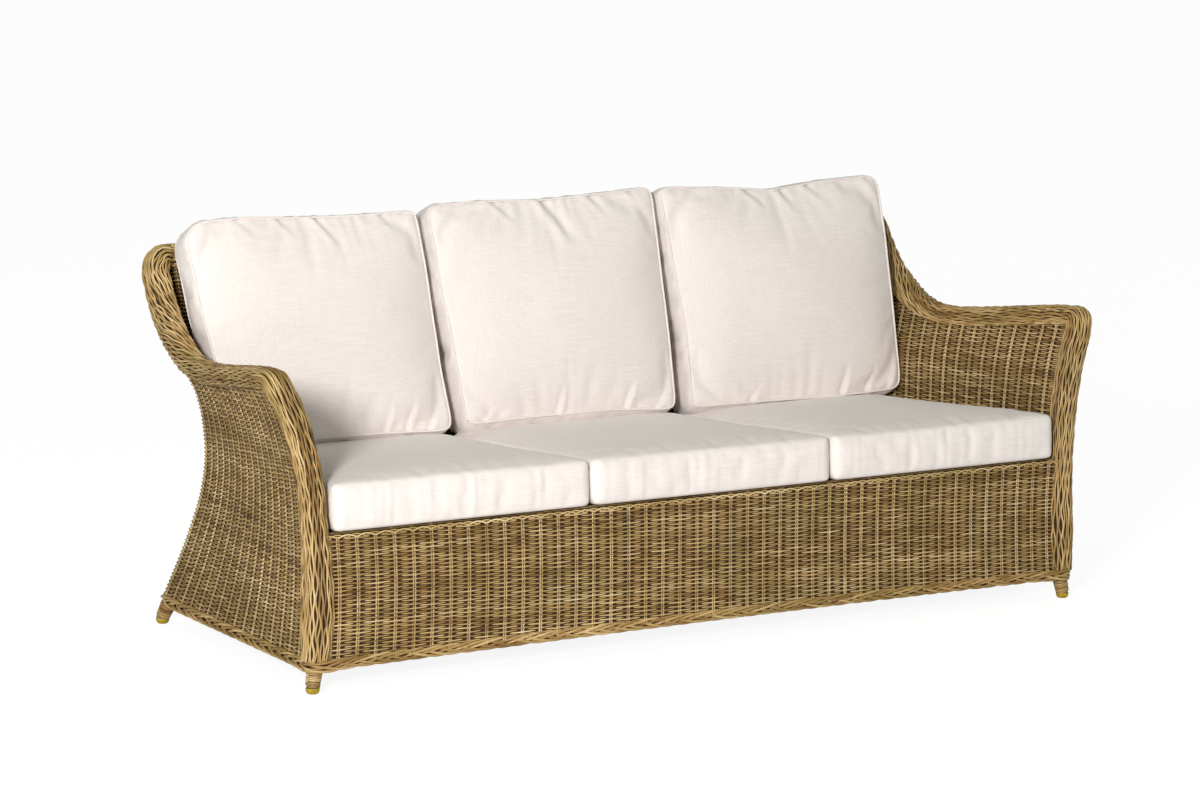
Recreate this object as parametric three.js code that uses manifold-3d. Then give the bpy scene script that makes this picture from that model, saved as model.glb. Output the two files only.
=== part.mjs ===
// A three-seat garden sofa. A welded aluminium tube frame carries woven skins and wound bands, and three seat
// cushions and three back cushions lie loose in it. Millimetres, X across, Y from front to back, Z up.
import * as THREE from "three";
import { mergeVertices } from "three/addons/utils/BufferGeometryUtils.js";
import Module from "manifold-3d";

const wasm = await Module();
wasm.setup();

// Clearances
const clearance = 0.3; // between pieces that touch
const skinRoom = 1.5; // between a rail and the skin that it runs along
const cornerRoom = 2.5; // between a rear leg and the corner round it
const bandGrip = 0.6; // between a band and the edge of a skin that ends on it
const settleRoom = 5; // how far the back cushions stop short of the back while they come down
const overrun = 30; // how far a cutter runs past what it cuts
const mergeTolerance = 0.001;
const sliver = 0.06; // edges that a cut leaves and that are no longer than this are closed up

// Front legs and arms, along the middle of the band that covers them
const kneeSpacing = 1814; // between the front legs where they are closest
const armFlare = 73; // how far the arms stand out beyond the knees at the front
const armRearFlare = 26; // and where the wings start
const wingFlare = 14; // and the wings at their top
const armSpacing = kneeSpacing + 2 * armFlare;
const armRearSpacing = kneeSpacing + 2 * armRearFlare;
const wingSpacing = kneeSpacing + 2 * wingFlare;
const armHeight = 646; // top of the arm at the front
const armDrop = 40; // how much lower the arm is where the wing starts
const elbowDepth = 66; // from the knees to where the arm's straight starts
const armRearDepth = 468; // from the knees to where the wing starts

// Wings and upper band
const topHeight = 818; // top of the back's upper band
const topBend = 36; // reach of the bend from a wing into the upper band
const topBandProud = 10; // how far the upper band stands out behind the back

// Outside of the rear corners
const waistInset = 51; // how far the corners stand inside the knees at the waist, where they are closest
const baseFlare = 27; // how far they stand out beyond the knees at the bottom
const crestFlare = 37; // and at the top
const waistWidth = kneeSpacing - 2 * waistInset;
const baseWidth = kneeSpacing + 2 * baseFlare;
const crestWidth = kneeSpacing + 2 * crestFlare;
const waistDepth = 692; // from the knees to the outside of the back's waist
const baseKick = 66; // how much further back the corners are at the bottom
const crestKick = 95; // and at the top
const baseDepth = waistDepth + baseKick;
const crestDepth = waistDepth + crestKick;
const waistHeight = 390;
const cornerRadius = 30;

// Feet and the braid round the bottom
const rearFootSetback = 30; // how far a rear foot reaches back below the braid
const rearFootSplay = 14; // how far it reaches out there
const footCapHeight = 12;
const footCapRadius = 14;
const footCapFlat = 8.5; // radius of the flat that stands on the floor
const footStemRadius = 8; // the cap's plug inside the leg
const footStemHeight = 6;
const bindingFoot = 1.5; // thickness of the winding at the bottom of a foot
const bindingHead = 3.5; // and at its top
const bindingTop = 43; // height of the wound foot, where the braid starts
const braidHeight = 26;
const braidProud = 3; // how far the braid stands out from the skins

// Tubes, skins and bands
const legRadius = 12.5;
const railRadius = 12.5;
const baseRailRadius = 10;
const strutRadius = 8;
const tubeWall = 1.8;
const skin = 5; // thickness of a woven panel
const apronReach = 10; // how far the apron stands forward of the knees
const postBandWidth = 50;
const postBandDepth = 55;
const armBandHeight = 44;
const wingBandWidth = 52;
const wingBandDepth = 66;
const topBandHeight = 50;
const topBandDepth = 50;

// Seat
const deckHeight = 320; // top of the woven deck at the front
const deckSlope = THREE.MathUtils.degToRad(3.5);
const deckInset = 4; // from the deck's edges to the skins
const barSpacing = 620; // between the two bars, uprights or struts of a pair
const seatRearGap = 40; // from the seat cushions to the outside of the back's waist
const seatCushionThickness = 98;
const seatCushionEdge = 13; // radius of the seat cushions' edges
const seatDrawIn = 4; // how far their sides curve in between the corners
const seatCrown = 11;
const seatOverhang = 8; // how far the seat cushions stand out over the apron
const seatFrontInset = 24; // how far the row of seat cushions ends inside the knees
const seatRearInset = 9; // and inside the outside of the waist
const seatWidthFront = kneeSpacing - 2 * seatFrontInset; // the three cushions together
const seatWidthRear = waistWidth - 2 * seatRearInset;
const cushionGap = 3; // between neighbouring cushions

// Back cushions
const recline = THREE.MathUtils.degToRad(11);
const backCushionHeight = 510;
const backCushionThickness = 135;
const backCushionEdge = 34;
const backCrown = 24;
const backRearCrown = 8;
const backTopInset = 42; // how far the row of back cushions ends inside the wings' middle
const backWidthBottom = waistWidth; // the three cushions together
const backWidthTop = wingSpacing - 2 * backTopInset;
const backDrawIn = 7; // how far their sides curve in between the corners

const sides = { left: -1, right: 1 };

// Front leg and elbow: [share of the arm's height, of the flare from knee to arm, of the elbow's depth]
const frontLegShares = [
  [0, 0.25, 0.03],
  [0.07, 0.12, 0.1],
  [0.32, 0, 0.13],
  [0.5, 0.06, 0.13],
  [0.705, 0.22, 0.17],
  [0.873, 0.56, 0.27],
  [0.955, 0.85, 0.38],
  [0.994, 0.985, 0.57],
];

// Wing from the arm's rear to the top: [share of the depth, of the height, of the way in]
const wingShares = [
  [0.31, 0.048, 0.17],
  [0.53, 0.19, 0.33],
  [0.728, 0.383, 0.54],
  [0.91, 0.689, 0.75],
  [0.985, 0.88, 1],
];

// Bend from wing to upper band: [share of the way in, of the rest of the height]
const bendShares = [
  [0.32, 0.86],
  [1, 1],
];

// Outside of a rear corner, from the waist to either end: [share of the height, of the width, of the depth]
const cornerBaseShares = [
  [0.26, 0.08, 0.12],
  [0.59, 0.43, 0.455],
  [1, 1, 1],
];
const cornerCrestShares = [
  [0.28, 0.13, 0.146],
  [0.48, 0.52, 0.41],
  [0.69, 0.88, 0.7],
  [1, 1, 1],
];

// Rounded end of a braid: [share of its half width inwards from the end, share of the half width there]
const braidEndShares = [
  [0, 0.3],
  [0.12, 0.62],
  [0.4, 0.89],
  [1, 1],
];

// Materials

const material = (color, roughness, metalness = 0) =>
  new THREE.MeshStandardMaterial({ color, roughness, metalness });
const aluminium = () => material(0x8a8378, 0.45, 0.9);
const wicker = () => material(0xa68a5c, 0.55);
const darkWicker = () => material(0x8c7248, 0.6);
const capPlastic = () => material(0xb29a1c, 0.4);
const linen = () => material(0xeee4da, 0.95);

// Lines of the frame, for the right side

const { lerp, clamp } = THREE.MathUtils;
const at = (x, y, z) => new THREE.Vector3(x, y, z);

// A smooth curve that takes even steps from one of its points to the next, however far apart they are.
class PointwiseCurve extends THREE.CatmullRomCurve3 {
  constructor(points) {
    super(points, false, "centripetal");
    this.spans = points.length - 1;
  }
  getPointAt(share, target) {
    return this.getPoint(share, target);
  }
  getTangentAt(share, target) {
    return this.getTangent(share, target);
  }
  // The position, counted in points, where an axis that rises between two positions reaches a value.
  positionWhere(axis, value, from = 0, to = this.spans) {
    let low = from;
    let high = to;
    for (let i = 0; i < 24; i++) {
      const middle = (low + high) / 2;
      if (this.getPoint(middle / this.spans)[axis] < value) low = middle;
      else high = middle;
    }
    return (low + high) / 2;
  }
}

const armLine = armHeight - armBandHeight / 2;
const topLine = topHeight - topBandHeight / 2;
const topDepth = crestDepth + topBandProud - topBandDepth / 2;
const standOff = legRadius + clearance + skin; // from a tube's middle to the outside of the skin over it
const legInset = cornerRadius - (cornerRadius - legRadius - cornerRoom - skin) / Math.SQRT2;
const braidTop = bindingTop + braidHeight;
const skinBottom = braidTop + clearance;
const braidLine = bindingTop + braidHeight / 2;
const apronFront = -apronReach;

const frontLegPoints = frontLegShares.map(([height, flare, depth]) =>
  at(lerp(kneeSpacing, armSpacing, flare) / 2, elbowDepth * depth, armLine * height),
);
const armFront = at(armSpacing / 2, elbowDepth, armLine);
const armRear = at(armRearSpacing / 2, armRearDepth, armLine - armDrop);
const crest = at(wingSpacing / 2, crestDepth - legInset, topLine);
const wingPoints = wingShares.map(([depth, height, inwards]) =>
  at(
    lerp(armRear.x, crest.x, inwards),
    lerp(armRear.y, crest.y, depth),
    lerp(armRear.z, crest.z, height),
  ),
);
const lastWingPoint = wingPoints[wingPoints.length - 1];
const bendPoints = bendShares.map(([inwards, height]) =>
  at(crest.x - topBend * inwards, lerp(crest.y, topDepth, inwards), lerp(lastWingPoint.z, topLine, height)),
);
const rim = new PointwiseCurve([...frontLegPoints, armFront, armRear, ...wingPoints, ...bendPoints]);
const armFrontPosition = frontLegPoints.length;
const armRearPosition = armFrontPosition + 1;
const crestPosition = armRearPosition + wingPoints.length;
const rimAt = (position) => rim.getPoint(position / rim.spans);

// Positions along the rim from one to another: one at each of its points, and one between them where it bends most.
function positionsBetween(from, to) {
  const bends = [armFrontPosition - 2, armFrontPosition - 1, crestPosition];
  const positions = [from];
  for (let p = Math.floor(from) + 1; p < to; p++) {
    if (bends.includes(p - 1)) positions.push(p - 0.5);
    positions.push(p);
  }
  if (bends.includes(Math.ceil(to) - 1)) positions.push(Math.ceil(to) - 0.5);
  return [...positions, to];
}

const frontLegAt = (z) => rimAt(rim.positionWhere("z", Math.min(z, armLine), 0, armFrontPosition));
const rimHeightAt = (y) =>
  y <= armFront.y ? armLine : rimAt(rim.positionWhere("y", y, armFrontPosition)).z;

const cornerPoint = (height, width, depth) => ([up, out, back]) =>
  at(lerp(waistWidth, width, out) / 2, lerp(waistDepth, depth, back), lerp(waistHeight, height, up));
const cornerCurve = new PointwiseCurve([
  ...cornerBaseShares.map(cornerPoint(braidLine, baseWidth, baseDepth)).reverse(),
  at(waistWidth / 2, waistDepth, waistHeight),
  ...cornerCrestShares.map(cornerPoint(topLine, crestWidth, crestDepth)),
]);
const cornerAt = (z) => cornerCurve.getPoint(cornerCurve.positionWhere("z", z) / cornerCurve.spans);

function rearLegAt(z) {
  const corner = cornerAt(z);
  return at(corner.x - legInset, corner.y - legInset, z);
}

const deckHeightAt = (y) => deckHeight - (y - apronFront) * Math.tan(deckSlope);
const underDeck = (y, radius) => deckHeightAt(y) - (skin + clearance + radius) / Math.cos(deckSlope);

// A point just inside the back skin, where a tube of a radius runs along it.
const insideBack = (x, z, radius) => at(x, cornerAt(z).y - skin - skinRoom - radius, z);

const mirrored = (points, side) => points.map((p) => at(p.x * side, p.y, p.z));

// Solids

// A closed geometry from points and triangles, its faces turned outwards.
function closedGeometry(points, triangles) {
  const volume = triangles.reduce((sum, [a, b, c]) => {
    const normal = new THREE.Vector3().crossVectors(points[b], points[c]);
    return sum + points[a].dot(normal);
  }, 0);
  const outward = volume < 0 ? triangles.map(([a, b, c]) => [a, c, b]) : triangles;
  const geometry = new THREE.BufferGeometry().setFromPoints(points);
  geometry.setIndex(outward.flat());
  return geometry;
}

// A skin over rings of equally many points, closed at both ends.
function loft(rings) {
  const count = rings[0].length;
  const triangles = [];
  for (let r = 0; r + 1 < rings.length; r++) {
    for (let i = 0; i < count; i++) {
      const j = (i + 1) % count;
      const low = r * count;
      const high = low + count;
      triangles.push([low + i, low + j, high + j], [low + i, high + j, high + i]);
    }
  }
  const last = (rings.length - 1) * count;
  for (let i = 1; i + 1 < count; i++) {
    triangles.push([0, i + 1, i], [last, last + i, last + i + 1]);
  }
  return closedGeometry(rings.flat(), triangles);
}

// A panel between an outer and an inner grid of points, [column][row], closed round its edge.
function panel(outer, inner) {
  const columns = outer.length;
  const rows = outer[0].length;
  const index = (layer, c, r) => (layer * columns + c) * rows + r;
  const triangles = [];
  const quad = (a, b, c, d) => triangles.push([a, b, c], [a, c, d]);
  const lastColumn = columns - 1;
  const lastRow = rows - 1;
  for (let c = 0; c < lastColumn; c++) {
    for (let r = 0; r < lastRow; r++) {
      quad(index(0, c, r), index(0, c + 1, r), index(0, c + 1, r + 1), index(0, c, r + 1));
      quad(index(1, c, r), index(1, c, r + 1), index(1, c + 1, r + 1), index(1, c + 1, r));
    }
    quad(index(1, c, 0), index(1, c + 1, 0), index(0, c + 1, 0), index(0, c, 0));
    quad(index(0, c, lastRow), index(0, c + 1, lastRow), index(1, c + 1, lastRow), index(1, c, lastRow));
  }
  for (let r = 0; r < lastRow; r++) {
    quad(index(0, 0, r), index(0, 0, r + 1), index(1, 0, r + 1), index(1, 0, r));
    quad(
      index(1, lastColumn, r),
      index(1, lastColumn, r + 1),
      index(0, lastColumn, r + 1),
      index(0, lastColumn, r),
    );
  }
  return closedGeometry([...outer.flat(), ...inner.flat()], triangles);
}

function solidOf(geometry) {
  const bare = geometry.clone();
  bare.deleteAttribute("normal");
  bare.deleteAttribute("uv");
  const merged = mergeVertices(bare, mergeTolerance);
  const vertProperties = merged.attributes.position.array;
  const triVerts = new Uint32Array(merged.index.array);
  return new wasm.Manifold(new wasm.Mesh({ numProp: 3, vertProperties, triVerts }));
}

function geometryOf(solid) {
  const { vertProperties, triVerts } = solid.getMesh();
  const geometry = new THREE.BufferGeometry();
  geometry.setAttribute("position", new THREE.BufferAttribute(new Float32Array(vertProperties), 3));
  geometry.setIndex(new THREE.BufferAttribute(new Uint32Array(triVerts), 1));
  return geometry;
}

// The largest body that is left of a geometry once the cutters are taken out of it.
function cut(geometry, cutters) {
  const left = cutters.reduce((solid, cutter) => solid.subtract(solidOf(cutter)), solidOf(geometry));
  const bodies = left.decompose().sort((a, b) => b.volume() - a.volume());
  return geometryOf(bodies[0].simplify(sliver));
}

// Everything between two heights.
function slab(low, high) {
  const geometry = new THREE.BoxGeometry(2 * armSpacing, 2 * armSpacing, high - low);
  return geometry.translate(0, 0, (low + high) / 2);
}

function circleShape(radius) {
  return new THREE.Shape().absarc(0, 0, radius, 0, 2 * Math.PI);
}

// A length of tube through its points: the hollow body, and the room that it takes in other pieces.
function tube(points, radius, stepsPerSpan = 1) {
  const extrudePath = new PointwiseCurve(points);
  const options = { extrudePath, steps: stepsPerSpan * extrudePath.spans, curveSegments: 4, bevelEnabled: false };
  const wall = circleShape(radius);
  wall.holes.push(circleShape(radius - tubeWall));
  return {
    body: new THREE.ExtrudeGeometry(wall, options),
    room: new THREE.ExtrudeGeometry(circleShape(radius + clearance), options),
  };
}

// An outline with rounded corners, in points of [across, deep].
function roundedOutline(halfWidth, halfDepth, count = 12) {
  const power = 3.2; // from 2 for an ellipse towards a rectangle
  const reach = (value) => Math.sign(value) * Math.abs(value) ** (2 / power);
  return Array.from({ length: count }, (_, i) => {
    const angle = ((i + 0.5) / count) * 2 * Math.PI;
    return new THREE.Vector2(halfWidth * reach(Math.cos(angle)), halfDepth * reach(Math.sin(angle)));
  });
}

// An outline set up at a point, square to the direction in which a piece runs.
function ring(point, along, across, outline) {
  const wide = across.clone().addScaledVector(along, -across.dot(along)).normalize();
  const deep = new THREE.Vector3().crossVectors(along, wide);
  return outline.map((p) => point.clone().addScaledVector(wide, p.x).addScaledVector(deep, p.y));
}

// Nodes

const sofa = new THREE.Group();
sofa.name = "garden_sofa";
const body = new THREE.Group();
sofa.add(body);

function add(name, geometry, finish) {
  const mesh = new THREE.Mesh(geometry, finish);
  mesh.name = name;
  body.add(mesh);
  return mesh;
}

// Tubes of the frame

// One bent tube: front leg, elbow, arm and wing. It ends in the rear leg.
function armLoop(side) {
  return tube(mirrored(positionsBetween(0, crestPosition - 1).map(rimAt), side), legRadius);
}

const legTop = topLine - topBend;
const legOverlap = legRadius / 2; // how far the rear legs and the top tube are drawn past their joint

function rearLeg(side) {
  const count = 14;
  const low = rearLegAt(braidLine);
  const foot = at(low.x + rearFootSplay, low.y + rearFootSetback, 0);
  const high = legTop + legOverlap;
  const heights = Array.from({ length: count + 1 }, (_, i) => lerp(braidLine, high, i / count));
  return tube(mirrored([foot, ...heights.map(rearLegAt)], side), legRadius);
}

// The top tube comes down at both ends to stand on the rear legs.
function topRail() {
  const half = [rearLegAt(legTop - legOverlap), ...positionsBetween(crestPosition, rim.spans).map(rimAt)];
  half.push(at(crest.x - 2 * topBend, topDepth, topLine));
  return tube([...half, ...mirrored(half, -1).reverse()], legRadius);
}

const straightTube = (from, to, radius) => tube([from, to], radius);

const seatRailFrontY = apronFront + skin + skinRoom + railRadius;
const frontSeatRailLine = at(frontLegAt(deckHeight).x, seatRailFrontY, underDeck(seatRailFrontY, railRadius));

// A point of the side skin's straight stretch, at a share of the way from front leg to rear corner.
function sideLine(share, z, inset) {
  const front = frontLegAt(z);
  const corner = cornerAt(clamp(z, braidLine, topLine));
  const x = lerp(front.x + standOff, corner.x, share) - inset;
  return at(x, lerp(front.y, corner.y - cornerRadius, share), z);
}

// The same under the deck, at the depth of a rail's middle.
function underSideDeck(share, inset, radius) {
  let point = at(0, share * waistDepth, 0);
  for (let i = 0; i < 4; i++) point = sideLine(share, underDeck(point.y, radius), inset);
  return point;
}

// Where the rear seat rail ends, in the middle of a rear leg but drawn back to the skin.
function rearSeatRailEnd() {
  let end = insideBack(0, deckHeight, railRadius);
  for (let i = 0; i < 4; i++) end = insideBack(0, underDeck(end.y, railRadius), railRadius);
  return at(rearLegAt(end.z).x, end.y, end.z);
}
const rearSeatRailLine = rearSeatRailEnd();

function acrossTube(end, radius) {
  return straightTube(mirrored([end], -1)[0], end, radius);
}

function sideSeatRail(side) {
  const inset = skin + skinRoom + railRadius;
  const points = [0, 0.25, 0.5, 0.75, 1].map((share) => underSideDeck(share, inset, railRadius));
  return tube(mirrored(points, side), railRadius);
}

function sideBaseRail(side) {
  return straightTube(...mirrored([frontLegAt(braidLine), rearLegAt(braidLine)], side), baseRailRadius);
}

// A bar under the deck, from the front seat rail to the rear one.
function deckBar(side) {
  const x = (side * barSpacing) / 2;
  const point = (y) => at(x, y, underDeck(y, strutRadius));
  return straightTube(point(frontSeatRailLine.y), point(rearSeatRailLine.y), strutRadius);
}

// An upright from the rear seat rail to the top rail, along the inside of the back.
function backUpright(side) {
  const x = (side * barSpacing) / 2;
  const count = 7;
  const heights = Array.from({ length: count }, (_, i) => lerp(rearSeatRailLine.z, topLine, i / count));
  const points = heights.map((z) => insideBack(x, z, strutRadius));
  return tube([...points, at(x, topDepth, topLine)], strutRadius);
}

// A strut between a base rail and the seat rail over it.
function strut(side, baseEnd, seatEnd) {
  const x = (side * barSpacing) / 2;
  return straightTube(at(x, baseEnd.y, baseEnd.z), at(x, seatEnd.y, seatEnd.z), strutRadius);
}

// Every tube of one side, or of both where it runs across.
const both = (make) => ({ left: make(sides.left), right: make(sides.right) });
const armLoops = both(armLoop);
const rearLegs = both(rearLeg);
const sideSeatRails = both(sideSeatRail);
const sideBaseRails = both(sideBaseRail);
const deckBars = both(deckBar);
const backUprights = both(backUpright);
const frontStruts = both((side) => strut(side, frontLegAt(braidLine), frontSeatRailLine));
const rearStruts = both((side) => strut(side, rearLegAt(braidLine), rearSeatRailLine));
const topTube = topRail();
const frontSeatRail = acrossTube(frontSeatRailLine, railRadius);
const rearSeatRail = acrossTube(rearSeatRailLine, railRadius);
const frontBaseRail = acrossTube(frontLegAt(braidLine), baseRailRadius);
const rearBaseRail = acrossTube(rearLegAt(braidLine), baseRailRadius);

const roomsOf = (...pairs) => pairs.flatMap((pair) => [pair.left.room, pair.right.room]);
const belowTubes = slab(-overrun, footCapHeight + clearance);
const aboveLegs = slab(legTop, topHeight);
const belowTopTube = slab(legTop - overrun, legTop + clearance);

function addTubes() {
  const legRooms = roomsOf(armLoops, rearLegs);
  for (const s of Object.keys(sides)) {
    add(`${s}_arm_loop_tube`, cut(armLoops[s].body, [belowTubes, rearLegs[s].room, topTube.room]), aluminium());
    add(`${s}_rear_leg_tube`, cut(rearLegs[s].body, [belowTubes, aboveLegs]), aluminium());
    const seatRooms = [...legRooms, frontSeatRail.room, rearSeatRail.room];
    add(`${s}_seat_rail`, cut(sideSeatRails[s].body, seatRooms), aluminium());
    const baseRooms = [...legRooms, frontBaseRail.room, rearBaseRail.room];
    add(`${s}_base_rail`, cut(sideBaseRails[s].body, baseRooms), aluminium());
    const barRooms = [frontSeatRail.room, rearSeatRail.room, backUprights[s].room];
    add(`${s}_deck_bar`, cut(deckBars[s].body, barRooms), aluminium());
    add(`${s}_back_upright`, cut(backUprights[s].body, [rearSeatRail.room, topTube.room]), aluminium());
    add(`${s}_front_strut`, cut(frontStruts[s].body, [frontBaseRail.room, frontSeatRail.room]), aluminium());
    add(`${s}_rear_strut`, cut(rearStruts[s].body, [rearBaseRail.room, rearSeatRail.room]), aluminium());
  }
  add("top_rail_tube", cut(topTube.body, [belowTopTube]), aluminium());
  add("front_seat_rail", cut(frontSeatRail.body, legRooms), aluminium());
  add("rear_seat_rail", cut(rearSeatRail.body, legRooms), aluminium());
  add("front_base_rail", cut(frontBaseRail.body, legRooms), aluminium());
  add("rear_base_rail", cut(rearBaseRail.body, legRooms), aluminium());
}

// Bands

// Size of the band along the rim: [position, width, depth]
const bandStations = [
  [0, postBandWidth, postBandDepth],
  [armFrontPosition - 2, postBandWidth, postBandDepth],
  [armFrontPosition, postBandWidth, armBandHeight],
  [armRearPosition, postBandWidth, armBandHeight],
  [armRearPosition + 3, wingBandWidth, wingBandDepth],
  [crestPosition, wingBandWidth, wingBandDepth],
  [rim.spans, topBandHeight, topBandDepth],
];

function bandRing(position, side, growth) {
  const next = bandStations.findIndex(([station]) => station >= position && station > 0);
  const [from, to] = [bandStations[next - 1], bandStations[next]];
  const share = (position - from[0]) / (to[0] - from[0]);
  const [width, depth] = [1, 2].map((i) => lerp(from[i], to[i], share) / 2 + growth);
  const point = rimAt(position);
  const along = position < rim.spans ? rim.getTangent(position / rim.spans) : at(-1, 0, 0);
  const turn = clamp((crest.x - point.x) / topBend, 0, 1);
  const across = at(1 - turn, 0, turn);
  return mirrored(ring(point, along, across, roundedOutline(width, depth)), side);
}

// Where the band's pieces start and end. The post's piece is drawn from inside the braid and cut at its top.
const braidPosition = rim.positionWhere("z", braidLine, 0, armFrontPosition);
const wingPosition = armRearPosition + 0.25;
const bandStretches = {
  post: [braidPosition, armFrontPosition],
  arm: [armFrontPosition, wingPosition],
  wing: [wingPosition, rim.spans],
};

// A stretch of the band. Its first ring is moved on by a gap.
function band(side, [from, to], gap, growth = 0) {
  const length = rimAt(from).distanceTo(rimAt(from + 1));
  const positions = positionsBetween(from, to);
  positions[0] += gap / length;
  return loft(positions.map((p) => bandRing(p, side, growth)));
}

// What the bands take of the skins: themselves, and a grip's width round them.
const stretches = Object.values(bandStretches);
const bandRooms = both((side) =>
  stretches.flatMap((stretch) => [band(side, stretch, 0), band(side, stretch, 0, bandGrip)]),
);

// The straight band along the top of the back, between the ends of the bent ones.
function topBand(gap, growth) {
  const end = bendPoints[bendPoints.length - 1];
  const reach = end.x - gap;
  const outline = roundedOutline(topBandHeight / 2 + growth, topBandDepth / 2 + growth);
  const ends = [-reach, reach].map((x) => at(x, end.y, end.z));
  return loft(ends.map((point) => ring(point, at(-1, 0, 0), at(0, 0, 1), outline)));
}
const topBandRoom = topBand(0, bandGrip);

function addBands() {
  for (const [s, side] of Object.entries(sides)) {
    const rooms = {
      post: [slab(-overrun, skinBottom), frontSeatRail.room, sideSeatRails[s].room],
      arm: [],
      wing: [rearLegs[s].room, topTube.room],
    };
    for (const [stretch, cutters] of Object.entries(rooms)) {
      const whole = band(side, bandStretches[stretch], clearance);
      add(`${s}_${stretch}_band`, cut(whole, [armLoops[s].room, ...cutters]), wicker());
    }
  }
  add("top_band", cut(topBand(clearance, 0), [topTube.room, ...roomsOf(backUprights)]), wicker());
}

// Woven skins

const sideColumns = 8;
const cornerColumns = 4;
const skinRows = 12;
const allBandRooms = [...bandRooms.left, ...bandRooms.right, topBandRoom];

// Columns of a side panel at a height: straight from the front leg, then round the rear corner.
function sidePoint(column, z, inset) {
  if (column <= sideColumns) return sideLine(column / sideColumns, z, inset);
  const corner = cornerAt(clamp(z, braidLine, topLine));
  const angle = ((column - sideColumns) / cornerColumns) * (Math.PI / 2);
  const reach = cornerRadius - inset;
  return at(
    corner.x - cornerRadius + reach * Math.cos(angle),
    corner.y - cornerRadius + reach * Math.sin(angle),
    z,
  );
}

// The height at which a column of the side panel meets the middle of the band.
function sideTop(column) {
  let low = skinBottom;
  let high = topLine;
  for (let i = 0; i < 24; i++) {
    const middle = (low + high) / 2;
    if (rimHeightAt(sidePoint(column, middle, 0).y) > middle) low = middle;
    else high = middle;
  }
  return low;
}

function sideWeave(side) {
  const columns = Array.from({ length: sideColumns + cornerColumns + 1 }, (_, i) => i);
  const face = (inset) =>
    columns.map((column) => {
      const top = sideTop(column);
      const heights = Array.from({ length: skinRows + 1 }, (_, i) => lerp(skinBottom, top, i / skinRows));
      return mirrored(heights.map((z) => sidePoint(column, z, inset)), side);
    });
  return panel(face(0), face(skin));
}

function backWeave() {
  const shares = [-1, -0.5, 0, 0.5, 1];
  const heights = Array.from({ length: skinRows + 1 }, (_, i) => lerp(skinBottom, topLine, i / skinRows));
  const face = (inset) =>
    shares.map((share) =>
      heights.map((z) => {
        const corner = cornerAt(z);
        return at(share * (corner.x - cornerRadius - clearance), corner.y - inset, z);
      }),
    );
  return panel(face(0), face(skin));
}

function apronWeave() {
  const shares = [-1, 0, 1];
  const rows = 5;
  const top = deckHeight - skin * Math.tan(deckSlope) - clearance;
  const heights = Array.from({ length: rows + 1 }, (_, i) => lerp(skinBottom, top, i / rows));
  const face = (inset) =>
    shares.map((share) => heights.map((z) => at(share * frontLegAt(z).x, apronFront + inset, z)));
  return panel(face(0), face(skin));
}

// The seat's own plane: its origin is the apron's top edge, its Y runs back along the deck and its Z stands on it.
const seatPlane = new THREE.Matrix4().makeRotationX(-deckSlope).setPosition(0, apronFront, deckHeight);
const alongDeck = (y) => (y - apronFront) / Math.cos(deckSlope);

// Length of the seat cushions along the deck.
const seatCushionDepth = alongDeck(waistDepth - seatRearGap) + seatOverhang;

function seatDeck() {
  const inset = skin + deckInset;
  const start = alongDeck(apronFront + skin + clearance) + skin * Math.tan(deckSlope);
  const end = alongDeck(cornerAt(rearSeatRailLine.z).y - inset);
  const edge = [0, 0.25, 0.5, 0.75, 1].map((share) => underSideDeck(share, inset, 0));
  const side = edge.map((p) => at(p.x, alongDeck(p.y), 0));
  const last = side[side.length - 1];
  const half = [at(side[0].x, start, 0), ...side, at(last.x - cornerRadius, end, 0)];
  const outline = new THREE.Shape([...half, ...mirrored(half, -1).reverse()]);
  const geometry = new THREE.ExtrudeGeometry(outline, { depth: skin, bevelEnabled: false });
  return geometry.translate(0, 0, -skin).applyMatrix4(seatPlane);
}

function addSkins() {
  for (const [s, side] of Object.entries(sides)) {
    add(`${s}_side_weave`, cut(sideWeave(side), [...allBandRooms, rearLegs[s].room]), wicker());
  }
  add("back_weave", cut(backWeave(), [...allBandRooms, ...roomsOf(backUprights)]), wicker());
  add("front_apron_weave", cut(apronWeave(), allBandRooms), wicker());
  const deckRooms = [bandRooms.left[1], bandRooms.right[1], ...roomsOf(rearLegs, backUprights)];
  add("seat_deck_weave", cut(seatDeck(), deckRooms), darkWicker());
}

// Braid round the bottom

const frontBraidHalf = frontLegAt(braidLine).y - apronFront + braidProud;
const rearBraidHalf = legInset + braidProud;

// A braid across the sofa, rounded at its ends, with the legs' line along its middle.
function acrossBraid(line, halfWidth, sideReach) {
  const stations = braidEndShares.map(([inwards, width]) => [line.x + sideReach - halfWidth * inwards, width]);
  const outline = (share) => roundedOutline(halfWidth * share, braidHeight / 2, 8);
  const half = stations.map(([x, share]) => [at(x, line.y, line.z), outline(share)]);
  const whole = [...half, ...half.map(([p, o]) => [at(-p.x, p.y, p.z), o]).reverse()];
  return loft(whole.map(([point, o]) => ring(point, at(-1, 0, 0), at(0, 1, 0), o)));
}

function sideBraid(side) {
  const front = frontLegAt(braidLine);
  const rear = rearLegAt(braidLine);
  const ends = [
    [at(front.x, front.y + frontBraidHalf + clearance, braidLine), standOff + braidProud],
    [at(rear.x, rear.y - rearBraidHalf - clearance, braidLine), rearBraidHalf],
  ];
  return loft(
    ends.map(([point, half]) =>
      mirrored(ring(point, at(0, 1, 0), at(1, 0, 0), roundedOutline(half, braidHeight / 2, 8)), side),
    ),
  );
}

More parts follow.
